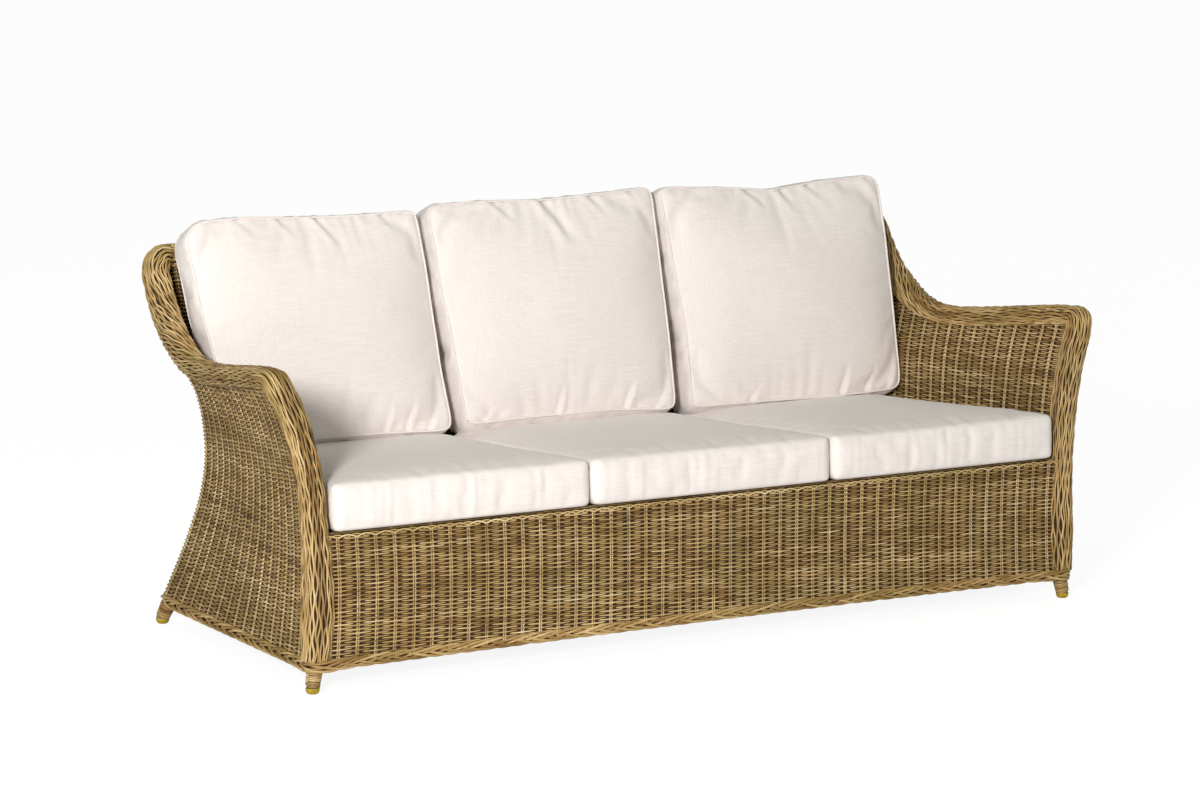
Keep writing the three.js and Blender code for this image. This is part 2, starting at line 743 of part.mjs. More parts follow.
function addBraids() {
  const rooms = roomsOf(armLoops, rearLegs, frontStruts, rearStruts, sideBaseRails);
  rooms.push(frontBaseRail.room, rearBaseRail.room);
  const front = acrossBraid(frontLegAt(braidLine), frontBraidHalf, standOff + braidProud);
  const rear = acrossBraid(rearLegAt(braidLine), rearBraidHalf, rearBraidHalf);
  add("front_base_braid", cut(front, rooms), wicker());
  add("rear_base_braid", cut(rear, rooms), wicker());
  for (const [s, side] of Object.entries(sides)) {
    add(`${s}_base_braid`, cut(sideBraid(side), rooms), wicker());
  }
}

// Feet

// The winding on a foot, cut level at the cap and at the braid.
function footBinding(line, room) {
  const along = line[1].clone().sub(line[0]).normalize();
  const radii = [legRadius + bindingFoot, legRadius + bindingHead];
  const rings = line.map((point, i) => ring(point, along, at(1, 0, 0), circleShape(radii[i]).getPoints(6).slice(1)));
  const above = slab(bindingTop - clearance, bindingTop + 2 * overrun);
  return cut(loft(rings), [belowTubes, above, room]);
}

function footCap(x, y) {
  const profile = [
    [0, 0],
    [footCapFlat, 0],
    [lerp(footCapFlat, footCapRadius, 0.6), footCapHeight * 0.15],
    [lerp(footCapFlat, footCapRadius, 0.93), footCapHeight * 0.42],
    [footCapRadius, footCapHeight * 0.75],
    [footCapRadius, footCapHeight],
    [footStemRadius, footCapHeight],
    [footStemRadius, footCapHeight + footStemHeight],
    [0, footCapHeight + footStemHeight],
  ];
  const geometry = new THREE.LatheGeometry(profile.map(([r, z]) => new THREE.Vector2(r, z)), 12);
  return geometry.rotateX(Math.PI / 2).translate(x, y, 0);
}

function addFeet() {
  const stemMiddle = footCapHeight + footStemHeight / 2;
  for (const [s, side] of Object.entries(sides)) {
    const rearLow = rearLegAt(braidLine);
    const rearFoot = at(rearLow.x + rearFootSplay, rearLow.y + rearFootSetback, 0);
    const feet = {
      front: [frontLegAt(0), frontLegAt(braidLine), armLoops[s].room],
      rear: [rearFoot, rearLow, rearLegs[s].room],
    };
    for (const [end, [foot, ankle, room]] of Object.entries(feet)) {
      const line = mirrored([foot, ankle], side);
      const middle = line[0].clone().lerp(line[1], stemMiddle / braidLine);
      add(`${s}_${end}_foot_binding`, footBinding(line, room), darkWicker());
      add(`${s}_${end}_foot_cap`, footCap(middle.x, middle.y), capPlastic());
    }
  }
}

// Cushions

// A box cushion with crowned faces, sides drawn in between the corners and rounded edges. Its X runs across, from
// -1 to 1 times halfWidth(depth share) and its thickness is along Z, standing on zero.
function cushion({ rightHalf, leftHalf, depth, thickness, edge, crowns, drawIn, counts }) {
  const geometry = new THREE.BoxGeometry(2, 2, 2, ...counts);
  const position = geometry.attributes.position;
  const spread = (share) => share * (1.5 - 0.5 * share * share); // points crowd towards the edges
  const round = (value, half) => clamp(value, -(half - edge), half - edge);
  const point = new THREE.Vector3();
  for (let i = 0; i < position.count; i++) {
    point.fromBufferAttribute(position, i);
    const [u, v, w] = point.toArray().map(spread);
    const half = at(1, depth / 2, thickness / 2);
    half.x = u < 0 ? leftHalf(v) : rightHalf(v);
    const block = at(u * half.x, v * half.y, w * half.z);
    const core = at(round(block.x, half.x), round(block.y, half.y), round(block.z, half.z));
    const skinned = core.clone().addScaledVector(block.sub(core).normalize(), edge);
    const [a, b] = [skinned.x / half.x, skinned.y / half.y];
    const bulge = (1 - a * a) * (1 - b * b);
    skinned.z += bulge * (w > 0 ? crowns.top : -crowns.bottom) * Math.abs(w);
    skinned.x -= drawIn * (1 - b * b) * a * Math.abs(a);
    skinned.y -= drawIn * (1 - a * a) * b * Math.abs(b);
    position.setXYZ(i, skinned.x, skinned.y, skinned.z + half.z);
  }
  return geometry;
}

const places = ["left", "middle", "right"];
const cushionPitch = seatWidthFront / places.length;

// Half widths to the left and right of a cushion's middle, in a row that tapers from one width to another. Both rows
// part at the same places, so that each cushion lifts off without its neighbours.
function rowWidths(widthFrom, widthTo, index) {
  const middle = cushionPitch * (index - 1);
  const inner = (cushionPitch - cushionGap) / 2;
  const outer = (v) => lerp(widthFrom, widthTo, (v + 1) / 2) / 2 - Math.abs(middle);
  const reach = (isOuter) => (v) => (isOuter ? outer(v) : inner);
  return { middle, leftHalf: reach(index === 0), rightHalf: reach(index === places.length - 1) };
}

function seatCushions() {
  const start = -seatOverhang;
  return places.map((place, index) => {
    const { middle, leftHalf, rightHalf } = rowWidths(seatWidthFront, seatWidthRear, index);
    const geometry = cushion({
      leftHalf,
      rightHalf,
      depth: seatCushionDepth,
      thickness: seatCushionThickness,
      edge: seatCushionEdge,
      crowns: { top: seatCrown, bottom: 0 },
      drawIn: seatDrawIn,
      counts: [9, 8, 3],
    });
    geometry.translate(middle, start + seatCushionDepth / 2, clearance);
    return add(`${place}_seat_cushion`, geometry.applyMatrix4(seatPlane), linen());
  });
}

// Back cushions lie face up while they are made, then stand up on their lower edge and lean back.
function backCushions() {
  return places.map((place, index) => {
    const { middle, leftHalf, rightHalf } = rowWidths(backWidthBottom, backWidthTop, index);
    const geometry = cushion({
      leftHalf,
      rightHalf,
      depth: backCushionHeight,
      thickness: backCushionThickness,
      edge: backCushionEdge,
      crowns: { top: backCrown, bottom: backRearCrown },
      drawIn: backDrawIn,
      counts: [9, 9, 3],
    });
    geometry.translate(middle, backCushionHeight / 2, 0);
    const mesh = add(`${place}_back_cushion`, geometry, linen());
    mesh.rotation.x = Math.PI / 2 - recline;
    mesh.position.set(0, waistDepth / 2, deckHeight + 2 * seatCushionThickness);
    return mesh;
  });
}

function worldSolid(mesh) {
  mesh.updateMatrixWorld(true);
  return solidOf(mesh.geometry.clone().applyMatrix4(mesh.matrixWorld));
}

// Moves meshes together along a direction until the first of them has no more than a room to a target.
function settle(meshes, direction, targets, room = clearance) {
  const targetSolids = targets.map(worldSolid);
  for (let i = 0; i < 40; i++) {
    const gaps = meshes.map(worldSolid).flatMap((mesh) => targetSolids.map((t) => mesh.minGap(t, overrun)));
    const step = Math.min(...gaps) - room;
    if (step < clearance / 10) return;
    meshes.forEach((mesh) => mesh.position.addScaledVector(direction, step));
  }
}

function addCushions() {
  const seats = seatCushions();
  const backs = backCushions();
  const named = (names) => names.map((name) => body.getObjectByName(name));
  const behind = named([
    "back_weave",
    "top_band",
    ...Object.keys(sides).flatMap((s) => [`${s}_back_upright`, `${s}_rear_leg_tube`, `${s}_wing_band`]),
  ]);
  const down = at(0, 0, -1);
  const backwards = at(0, Math.cos(deckSlope), -Math.sin(deckSlope));
  settle(backs, down, seats);
  settle(backs, backwards, behind, settleRoom);
  backs.forEach((mesh) => settle([mesh], down, seats));
  settle(backs, backwards, behind);
}

addTubes();
addBands();
addSkins();
addBraids();
addFeet();
addCushions();

// The part's origin lies on the floor, under the middle of its bounding box.
const bounds = new THREE.Box3().setFromObject(body, true);
const centre = bounds.getCenter(new THREE.Vector3());
body.position.set(-centre.x, -centre.y, -bounds.min.z);

export default sofa;
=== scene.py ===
import math

import bpy
import numpy as np
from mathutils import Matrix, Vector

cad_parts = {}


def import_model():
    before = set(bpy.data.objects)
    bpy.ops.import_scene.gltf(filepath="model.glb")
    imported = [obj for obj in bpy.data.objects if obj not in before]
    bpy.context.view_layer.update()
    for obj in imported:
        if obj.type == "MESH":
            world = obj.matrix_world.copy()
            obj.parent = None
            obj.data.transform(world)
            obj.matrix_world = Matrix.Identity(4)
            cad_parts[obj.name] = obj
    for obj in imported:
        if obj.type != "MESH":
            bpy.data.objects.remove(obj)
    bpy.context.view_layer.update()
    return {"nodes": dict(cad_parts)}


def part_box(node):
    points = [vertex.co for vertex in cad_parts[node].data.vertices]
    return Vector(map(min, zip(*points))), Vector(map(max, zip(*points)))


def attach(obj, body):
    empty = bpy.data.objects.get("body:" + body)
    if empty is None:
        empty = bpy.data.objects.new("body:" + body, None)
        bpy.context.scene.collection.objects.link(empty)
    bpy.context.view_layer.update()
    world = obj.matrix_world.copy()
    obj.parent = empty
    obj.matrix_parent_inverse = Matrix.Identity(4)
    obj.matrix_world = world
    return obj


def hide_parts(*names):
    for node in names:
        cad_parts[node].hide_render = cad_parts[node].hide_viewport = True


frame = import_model()
scene = bpy.context.scene
MM, TINY = 0.001, 1e-9

# Sizes of the frame, the same as in the part's source
KNEE_SPACING, ARM_FLARE, ARM_REAR_FLARE, WING_FLARE = 1814, 73, 26, 14
ARM_HEIGHT, ARM_DROP, ELBOW_DEPTH, ARM_REAR_DEPTH = 646, 40, 66, 468
TOP_HEIGHT, TOP_BEND, TOP_PROUD = 818, 36, 10
WAIST_INSET, BASE_FLARE, CREST_FLARE = 51, 27, 37
WAIST_DEPTH, BASE_KICK, CREST_KICK, WAIST_HEIGHT = 692, 66, 95, 390
CORNER_RADIUS, LEG_RADIUS, CLEARANCE, SKIN, CORNER_ROOM = 30, 12.5, 0.3, 5, 2.5
REAR_SETBACK, REAR_SPLAY, BINDING_TOP, BRAID_HEIGHT, BRAID_PROUD = 30, 14, 43, 26, 3
APRON_REACH, DECK_HEIGHT, DECK_SLOPE = 10, 320, math.radians(3.5)
POST_WIDTH, POST_DEPTH, ARM_BAND, WING_WIDTH, WING_DEPTH, TOP_BAND = 50, 55, 44, 52, 66, 50
RECLINE = math.radians(11)
LEG_SHARES = [
    (0, 0.25, 0.03), (0.07, 0.12, 0.1), (0.32, 0, 0.13), (0.5, 0.06, 0.13),
    (0.705, 0.22, 0.17), (0.873, 0.56, 0.27), (0.955, 0.85, 0.38), (0.994, 0.985, 0.57),
]
WING_SHARES = [
    (0.31, 0.048, 0.17), (0.53, 0.19, 0.33), (0.728, 0.383, 0.54), (0.91, 0.689, 0.75), (0.985, 0.88, 1),
]
BEND_SHARES = [(0.32, 0.86), (1, 1)]
BASE_SHARES = [(0.26, 0.08, 0.12), (0.59, 0.43, 0.455), (1, 1, 1)]
CREST_SHARES = [(0.28, 0.13, 0.146), (0.48, 0.52, 0.41), (0.69, 0.88, 0.7), (1, 1, 1)]


# Helpers

def lerp(a, b, t):
    return a + (b - a) * t


def smooth(t):
    t = np.clip(t, 0, 1)
    return t * t * (3 - 2 * t)


def unit(vectors):
    return vectors / np.maximum(np.linalg.norm(vectors, axis=-1, keepdims=True), TINY)


def lengths_along(points):
    """How far it is from the first point to each, along the line."""
    return np.concatenate([[0], np.cumsum(np.linalg.norm(np.diff(points, axis=0), axis=1))])


def noise_line(x, step, rng, low=0.0, high=1.0):
    """Smooth random values along x, with a knot every step."""
    x = np.asarray(x, float)
    x = x - x.min()
    knots = rng.uniform(low, high, int(x.max() / step) + 3)
    i = np.floor(x / step).astype(int)
    return lerp(knots[i], knots[i + 1], smooth(x / step - i))


def grid_quads(columns, rows):
    c, r = np.meshgrid(np.arange(columns - 1), np.arange(rows - 1), indexing="ij")
    first = (c * rows + r).ravel()
    return np.stack([first, first + rows, first + rows + 1, first + 1], 1)


def tube_quads(rings, sides):
    return np.array([
        (r * sides + k, r * sides + (k + 1) % sides, (r + 1) * sides + (k + 1) % sides, (r + 1) * sides + k)
        for r in range(rings - 1) for k in range(sides)
    ])


def read(values, key, width):
    """Numbers of a mesh, a row for each of its points."""
    data = np.zeros(len(values) * width)
    values.foreach_get(key, data)
    return data.reshape(-1, width)


# Lines of the frame

def catmull(points):
    """A centripetal curve through points. It takes positions counted in points."""
    P = np.asarray(points, float)
    Q = np.vstack([2 * P[0] - P[1], P, 2 * P[-1] - P[-2]])

    def at(position):
        position = np.atleast_1d(np.asarray(position, float))
        i = np.clip(np.floor(position).astype(int), 0, len(P) - 2)
        w = (position - i)[:, None]
        p0, p1, p2, p3 = (Q[i + k] for k in range(4))
        root = lambda a, b: np.maximum(((a - b) ** 2).sum(1), TINY)[:, None] ** 0.25
        d0, d1, d2 = root(p0, p1), root(p1, p2), root(p2, p3)
        m1 = ((p1 - p0) / d0 - (p2 - p0) / (d0 + d1) + (p2 - p1) / d1) * d1
        m2 = ((p2 - p1) / d1 - (p3 - p1) / (d1 + d2) + (p3 - p2) / d2) * d1
        return ((2 * p1 - 2 * p2 + m1 + m2) * w + (-3 * p1 + 3 * p2 - 2 * m1 - m2)) * w * w + m1 * w + p1

    return at


ARM_LINE = ARM_HEIGHT - ARM_BAND / 2
TOP_LINE = TOP_HEIGHT - TOP_BAND / 2
CREST_DEPTH = WAIST_DEPTH + CREST_KICK
TOP_DEPTH = CREST_DEPTH + TOP_PROUD - TOP_BAND / 2
STAND_OFF = LEG_RADIUS + CLEARANCE + SKIN
LEG_INSET = CORNER_RADIUS - (CORNER_RADIUS - LEG_RADIUS - CORNER_ROOM - SKIN) / math.sqrt(2)
BRAID_LINE = BINDING_TOP + BRAID_HEIGHT / 2
SKIN_BOTTOM = BINDING_TOP + BRAID_HEIGHT + CLEARANCE
KNEE = KNEE_SPACING / 2
ARM_FRONT = np.array([KNEE + ARM_FLARE, ELBOW_DEPTH, ARM_LINE])
ARM_REAR = np.array([KNEE + ARM_REAR_FLARE, ARM_REAR_DEPTH, ARM_LINE - ARM_DROP])
CREST = np.array([KNEE + WING_FLARE, CREST_DEPTH - LEG_INSET, TOP_LINE])
leg_points = [(lerp(KNEE, KNEE + ARM_FLARE, f), ELBOW_DEPTH * d, ARM_LINE * h) for h, f, d in LEG_SHARES]
wing_points = [[lerp(*line) for line in zip(ARM_REAR, CREST, (i, d, h))] for d, h, i in WING_SHARES]
bend_points = [
    (CREST[0] - TOP_BEND * i, lerp(CREST[1], TOP_DEPTH, i), lerp(wing_points[-1][2], TOP_LINE, h))
    for i, h in BEND_SHARES
]
rim_points = [*leg_points, ARM_FRONT, ARM_REAR, *wing_points, *bend_points]
rim = catmull(rim_points)
RIM_END = len(rim_points) - 1
FRONT_POS, REAR_POS = len(leg_points), len(leg_points) + 1
CREST_POS = REAR_POS + len(wing_points)
rim_positions = np.linspace(0, RIM_END, 1601)
rim_table = rim(rim_positions)
leg_table = rim_table[rim_positions <= FRONT_POS]
over_table = rim_table[(rim_positions >= FRONT_POS) & (rim_positions <= CREST_POS)]


def corner_points(height, flare, kick, shares):
    """Points of the rear corners' line between the waist and a height."""
    waist, half = KNEE - WAIST_INSET, KNEE + flare
    return [
        (lerp(waist, half, o), lerp(WAIST_DEPTH, WAIST_DEPTH + kick, b), lerp(WAIST_HEIGHT, height, u))
        for u, o, b in shares
    ]


corner_line = [
    *corner_points(BRAID_LINE, BASE_FLARE, BASE_KICK, BASE_SHARES)[::-1],
    (KNEE - WAIST_INSET, WAIST_DEPTH, WAIST_HEIGHT),
    *corner_points(TOP_LINE, CREST_FLARE, CREST_KICK, CREST_SHARES),
]
corner_table = catmull(corner_line)(np.linspace(0, len(corner_line) - 1, 801))
APRON_FRONT = -APRON_REACH
SHIFT = APRON_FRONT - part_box("front_apron_weave")[0].y / MM  # from the sofa's own lines to the part's origin


def at_height(table, z):
    return np.interp(z, table[:, 2], table[:, 0]), np.interp(z, table[:, 2], table[:, 1])


def leg_at(z):
    return at_height(leg_table, np.clip(z, 0, ARM_LINE))


def corner_at(z):
    return at_height(corner_table, np.clip(z, BRAID_LINE, TOP_LINE))


def rim_height(y):
    return np.where(y <= ARM_FRONT[1], ARM_LINE, np.interp(y, over_table[:, 1], over_table[:, 2]))


# Strands

# The longest strand's share of the bake's map, and the margin and the fill of each strand's row
STRIP_LENGTH, STRIP_MARGIN, STRIP_FILL = 0.97, 0.06, 0.88
# Where the map holds the strands' ends and the dark sheet of painted shade
END_LEFT, END_RIGHT, PAINTED_SHADE_LEFT = 0.98, 0.99, 0.995
TONE, TONE_SPREAD, TONE_DRIFTS = 0.5, 0.1, ((45, 0.16), (210, 0.1))


def patch_uv(count, left, right, low, high):
    return np.tile(np.array([[left, low], [right, low], [right, high], [left, high]]), (count, 1, 1))


class Strands:
    """Round strands gathered into one mesh, each with a tone along it and a strip of the bake's map."""

    def __init__(self, sides):
        self.sides, self.paths = sides, []

    def add(self, points, normals, radius, tone):
        if len(points) > 1:
            self.paths.append((points, np.broadcast_to(normals, points.shape), radius, tone))

    def build(self, name, material, inside=None):
        """Makes the mesh. Its inside, if there is one, is points and quads in the dark material of painted
        shade: a dark sheet that stands in for the shade seen through the gaps.
        """
        sides, rows = self.sides, len(self.paths)
        angles = np.arange(sides) * 2 * np.pi / sides
        verts, faces, tones, uvs, base = [], [], [], [], 0
        longest = max(np.linalg.norm(np.diff(p, axis=0), axis=1).sum() for p, *_ in self.paths)
        for row, (points, normals, radius, tone) in enumerate(self.paths):
            count = len(points)
            along = unit(np.gradient(points, axis=0))
            side = unit(np.cross(along, normals))
            up = np.cross(side, along)
            radii = np.broadcast_to(radius, (count,))[:, None, None]
            ring = np.cos(angles)[None, :, None] * up[:, None] + np.sin(angles)[None, :, None] * side[:, None]
            verts.append((points[:, None] + radii * ring).reshape(-1, 3))
            tones.append(np.repeat(np.broadcast_to(tone, (count,)), sides))
            i = np.arange(count - 1)[:, None] * sides
            k = np.arange(sides)[None]
            j = (k + 1) % sides
            quads = np.stack([i + k, i + sides + k, i + sides + j, i + j], 2).reshape(-1, 4)
            lengths = lengths_along(points) / longest * STRIP_LENGTH
            u0, u1 = (np.repeat(a, sides) for a in (lengths[:-1], lengths[1:]))
            v0 = (row + STRIP_MARGIN + STRIP_FILL * np.tile(np.arange(sides), count - 1) / sides) / rows
            v1 = v0 + STRIP_FILL / sides / rows
            corners = ((u0, v0), (u1, v0), (u1, v1), (u0, v1))
            quad_uv = np.stack([np.stack(corner, 1) for corner in corners], 1)
            ends = []
            for start, order in ((0, 1), ((count - 1) * sides, -1)):
                loop = (start + np.arange(sides))[::order]
                for a in range(1, sides - 1, 2):
                    ends.append([loop[0], loop[a], loop[a + 1], loop[min(a + 2, sides - 1)]])
            end_uv = patch_uv(len(ends), END_LEFT, END_RIGHT, row / rows, (row + 1) / rows)
            faces.append(np.vstack([quads, ends]) + base)
            uvs.append(np.vstack([quad_uv, end_uv]))
            base += count * sides
        faces, uvs = np.vstack(faces), np.vstack(uvs)
        verts, tones = np.vstack(verts), np.concatenate(tones)
        marks, materials = np.zeros(len(faces), np.int32), [material]
        if inside is not None:
            more_verts, more_faces = inside
            faces = np.vstack([faces, more_faces + base])
            verts, tones = np.vstack([verts, more_verts]), np.concatenate([tones, np.zeros(len(more_verts))])
            uvs = np.vstack([uvs, patch_uv(len(more_faces), PAINTED_SHADE_LEFT, 1, 0, 1)])
            marks = np.concatenate([marks, np.ones(len(more_faces), np.int32)])
            materials.append(painted_shade)
        return make_mesh(name, verts, faces, materials, tones, uvs, marks)


def make_mesh(name, verts, faces, materials, tones=None, uvs=None, marks=None, shift=True):
    """An object from quads; a quad whose last two corners are the same is a triangle."""
    verts = np.array(verts, float)
    if shift:
        verts[:, 1] -= SHIFT
    triangle = faces[:, 2] == faces[:, 3]
    sizes = np.where(triangle, 3, 4)
    keep = np.ones(faces.shape, bool)
    keep[triangle, 3] = False
    mesh = bpy.data.meshes.new(name)
    mesh.vertices.add(len(verts))
    mesh.vertices.foreach_set("co", (verts * MM).astype(np.float32).ravel())
    loops = faces[keep]
    mesh.loops.add(len(loops))
    mesh.loops.foreach_set("vertex_index", loops.astype(np.int32))
    mesh.polygons.add(len(faces))
    mesh.polygons.foreach_set("loop_start", np.concatenate([[0], np.cumsum(sizes)[:-1]]).astype(np.int32))
    mesh.polygons.foreach_set("use_smooth", np.ones(len(faces), bool))
    if marks is not None:
        mesh.polygons.foreach_set("material_index", marks)
    if uvs is not None:
        mesh.uv_layers.new(name="OFBake").data.foreach_set("uv", uvs[keep].astype(np.float32).ravel())
    if tones is not None:
        mesh.attributes.new("tone", "FLOAT", "POINT").data.foreach_set("value", tones.astype(np.float32))
    mesh.update(calc_edges=True)
    mesh.validate()
    for material in materials:
        mesh.materials.append(material)
    obj = bpy.data.objects.new(name, mesh)
    scene.collection.objects.link(obj)
    return obj


def strand_tone(points, rng, lift=0.0):
    """A tone that drifts along a strand. Some strands are darker or lighter as a whole."""
    lengths = lengths_along(points)
    tone = TONE + lift + rng.normal(0, TONE_SPREAD)
    for step, reach in TONE_DRIFTS:
        tone = tone + noise_line(lengths, step, rng, -reach, reach)
    return np.clip(tone, 0, 1)


# Materials

def rgb(*levels):
    """A colour given in levels of 0 to 255, as linear light."""
    return tuple(c / 255 / 12.92 if c <= 10 else ((c / 255 + 0.055) / 1.055) ** 2.4 for c in levels) + (1,)


class Nodes:
    def __init__(self, tree):
        self.tree = tree

    def feed(self, socket, value):
        """Gives a socket a fixed value or a link."""
        if isinstance(value, (int, float, tuple)):
            socket.default_value = value
        else:
            self.tree.links.new(value, socket)

    def node(self, kind, links=(), **values):
        made = self.tree.nodes.new(kind)
        for key, value in values.items():
            if key in made.inputs:
                made.inputs[key].default_value = value
            else:
                setattr(made, key, value)
        for socket, source in dict(links).items():
            self.feed(made.inputs[socket], source)
        return made

    def ramp(self, source, stops):
        made = self.node("ShaderNodeValToRGB", {"Fac": source})
        elements = made.color_ramp.elements
        for i, (place, colour) in enumerate(stops):
            if i < 2:
                elements[i].position, elements[i].color = place, colour
            else:
                elements.new(place).color = colour
        return made.outputs["Color"]

    def math(self, operation, a, b):
        return self.node("ShaderNodeMath", {0: a, 1: b}, operation=operation).outputs["Value"]

    def mix(self, share, a, b):
        return self.node("ShaderNodeMix", {0: share, 6: a, 7: b}, data_type="RGBA").outputs[2]


class Material(Nodes):
    def __init__(self, name, **values):
        self.mat = bpy.data.materials.new(name)
        self.mat.use_nodes = True
        super().__init__(self.mat.node_tree)
        self.shader = self.tree.nodes["Principled BSDF"]
        for key, value in values.items():
            self.shader.inputs[key.replace("_", " ")].default_value = value

    def noise(self, scale, detail=3, rough=0.55):
        """Noise with a scale along each axis of the object."""
        place = self.node("ShaderNodeTexCoord").outputs["Object"]
        mapping = self.node("ShaderNodeMapping", {"Vector": place, "Scale": scale})
        links = {"Vector": mapping.outputs["Vector"], "Scale": 1}
        return self.node("ShaderNodeTexNoise", links, Detail=detail, Roughness=rough).outputs["Fac"]

    def spread(self, source, low, high):
        links = {"Value": source, "To Min": low, "To Max": high}
        return self.node("ShaderNodeMapRange", links).outputs["Result"]

    def bump(self, height, strength, distance):
        made = self.node("ShaderNodeBump", {"Height": height}, Strength=strength, Distance=distance)
        self.set("Normal", made.outputs["Normal"])

    def set(self, socket, source):
        self.feed(self.shader.inputs[socket], source)


PATCHES, FIBRE_MARKS, GREEN_SPREAD, MOST_GREEN = 0.26, 0.12, 1.6, 0.2
GREEN = rgb(128, 118, 58)


def wicker_material(name, stops):
    m = Material(name)
    tone = m.node("ShaderNodeAttribute", attribute_name="tone").outputs["Fac"]
    patches = m.noise((5, 5, 22), detail=2)
    fibre = m.noise((420, 420, 420), detail=2)
    value = m.math("ADD", tone, m.spread(patches, -PATCHES, PATCHES))
    value = m.math("ADD", value, m.spread(fibre, -FIBRE_MARKS, FIBRE_MARKS))
    green = m.spread(m.noise((5.5, 5.5, 8), detail=1), -GREEN_SPREAD, GREEN_SPREAD)
    green = m.math("MINIMUM", m.math("MAXIMUM", green, 0.0), MOST_GREEN)
    m.set("Base Color", m.mix(green, m.ramp(value, stops), GREEN))
    m.set("Roughness", m.spread(fibre, 0.42, 0.62))
    m.bump(m.noise((900, 900, 900), detail=2), 0.25, 0.0004)
    return m.mat


def speckled_material(name, scale, detail, dark, light, rough, bump_noise, bump, **values):
    """Two colours in fine specks, which change its roughness too. A bump without a noise follows them."""
    m = Material(name, **values)
    speck = m.noise(scale, detail)
    m.set("Base Color", m.ramp(speck, [dark, light]))
    m.set("Roughness", m.spread(speck, *rough))
    m.bump(m.noise(*bump_noise) if bump_noise else speck, *bump)
    return m.mat


# A dark brown of painted shade for the sheets and tubes inside the wicker, which stand in for the shade seen
# through its gaps
def painted_shade_material():
    m = Material("painted_shade_wicker", Roughness=0.9)
    m.set("Base Color", m.ramp(m.noise((120, 120, 120)), [(0.2, rgb(36, 20, 4)), (0.8, rgb(64, 40, 12))]))
    return m.mat


def linen_material():
    values = dict(Roughness=0.9, Sheen_Weight=0.18, Sheen_Roughness=0.5, Specular_IOR_Level=0.25)
    m = Material("linen_weave", **values)
    across = m.math("MULTIPLY", m.noise((12, 560, 560), rough=0.6), 0.65)
    down = m.math("MULTIPLY", m.noise((560, 20, 20), rough=0.6), 0.35)
    thread = m.math("ADD", across, down)
    fine = m.noise((1500, 1500, 1500), detail=1)
    cloud = m.spread(m.noise((5, 5, 5), detail=2), -0.06, 0.06)
    pale, deep = rgb(242, 234, 231), rgb(228, 218, 212)
    m.set("Base Color", m.ramp(m.math("ADD", thread, cloud), [(0.3, deep), (0.62, pale)]))
    m.bump(m.math("ADD", thread, m.math("MULTIPLY", fine, 0.3)), 0.35, 0.0012)
    return m.mat


wicker = wicker_material("wicker", [
    (0.0, rgb(80, 53, 18)), (1.0, rgb(242, 219, 172)),
    (0.3, rgb(138, 104, 54)), (0.55, rgb(184, 151, 96)), (0.8, rgb(217, 188, 136)),
])
dark_wicker = wicker_material("dark_wicker", [
    (0.0, rgb(62, 42, 20)), (1.0, rgb(190, 162, 116)), (0.5, rgb(128, 101, 60)),
])
# The dark brown of painted shade
painted_shade = painted_shade_material()
linen = linen_material()
tube_finish = speckled_material(
    "frame_tube_finish", (700, 700, 700), 2, (0.3, rgb(70, 56, 38)), (0.7, rgb(96, 78, 54)), (0.4, 0.6),
    None, (0.15, 0.0002))
cap_finish = speckled_material(
    "foot_cap_finish", (140, 140, 60), 3, (0.25, rgb(146, 118, 8)), (0.75, rgb(190, 160, 24)), (0.3, 0.5),
    ((500, 500, 500), 2), (0.1, 0.0003), Coat_Weight=0.2)


# Woven panels

SIDE_STEPS, BACK_STEPS, APRON_STEPS = 16, 42, 44  # spaces between stakes along a side, the back and the apron
HALF_STEPS = SIDE_STEPS + 1 + BACK_STEPS / 2
STEP = 41.5  # about how far apart the stakes stand
ROW_PITCH, WEAVER_RADIUS, WEAVE_DEPTH = 4.2, 1.6, 2.5
STAKE_RADIUS, STAKE_GAP, STAKE_DEPTH, STAKE_LIFT = 1.75, 2.3, 1.6, 0.18
ROW_DRIFT, DRIFT_STEP = 1.4, 40  # rows aren't quite level
WANDER, WANDER_STEP, PRESS_STEP = 0.3, 70, 60
# How far each starts below the skins' lower edge, behind the braid; the last is the dark sheet of painted shade
WEAVER_FOOT, STAKE_FOOT, SHADE_SHEET_FOOT = 6, 10, 4
RIM_COVER, TOP_COVER = 8, 16  # how far a panel's strands end below the middle of the band over it
# Rows of the panels' dark sheet of painted shade
SHADE_SHEET_ROWS = 40


def wrap(w, z, out):
    """Points and normals of the panels that run from one front post round the back to the other.
    w counts stakes from the left post, and out is how far a point lies outside the panels' middle."""
    w, z, out = np.broadcast_arrays(np.asarray(w, float), z, out)
    sign = np.where(w <= HALF_STEPS, -1.0, 1.0)
    h = np.where(w <= HALF_STEPS, w, 2 * HALF_STEPS - w)
    inset = SKIN / 2 - out
    leg_x, leg_y = leg_at(z)
    cx, cy = corner_at(z)
    share = np.clip(h / SIDE_STEPS, 0, 1)
    x = lerp(leg_x + STAND_OFF, cx, share) - inset
    y = lerp(leg_y, cy - CORNER_RADIUS, share)
    angle = np.clip(h - SIDE_STEPS, 0, 1) * np.pi / 2
    turned = h > SIDE_STEPS
    reach = CORNER_RADIUS - inset
    x = np.where(turned, cx - CORNER_RADIUS + reach * np.cos(angle), x)
    y = np.where(turned, cy - CORNER_RADIUS + reach * np.sin(angle), y)
    behind = h > SIDE_STEPS + 1
    x = np.where(behind, (cx - CORNER_RADIUS) * (1 - (h - SIDE_STEPS - 1) / (BACK_STEPS / 2)), x)
    y = np.where(behind, cy - inset, y)
    normals = np.stack([sign * np.cos(angle), np.sin(angle), np.zeros_like(angle)], -1)
    return np.stack([sign * x, y, z], -1), normals


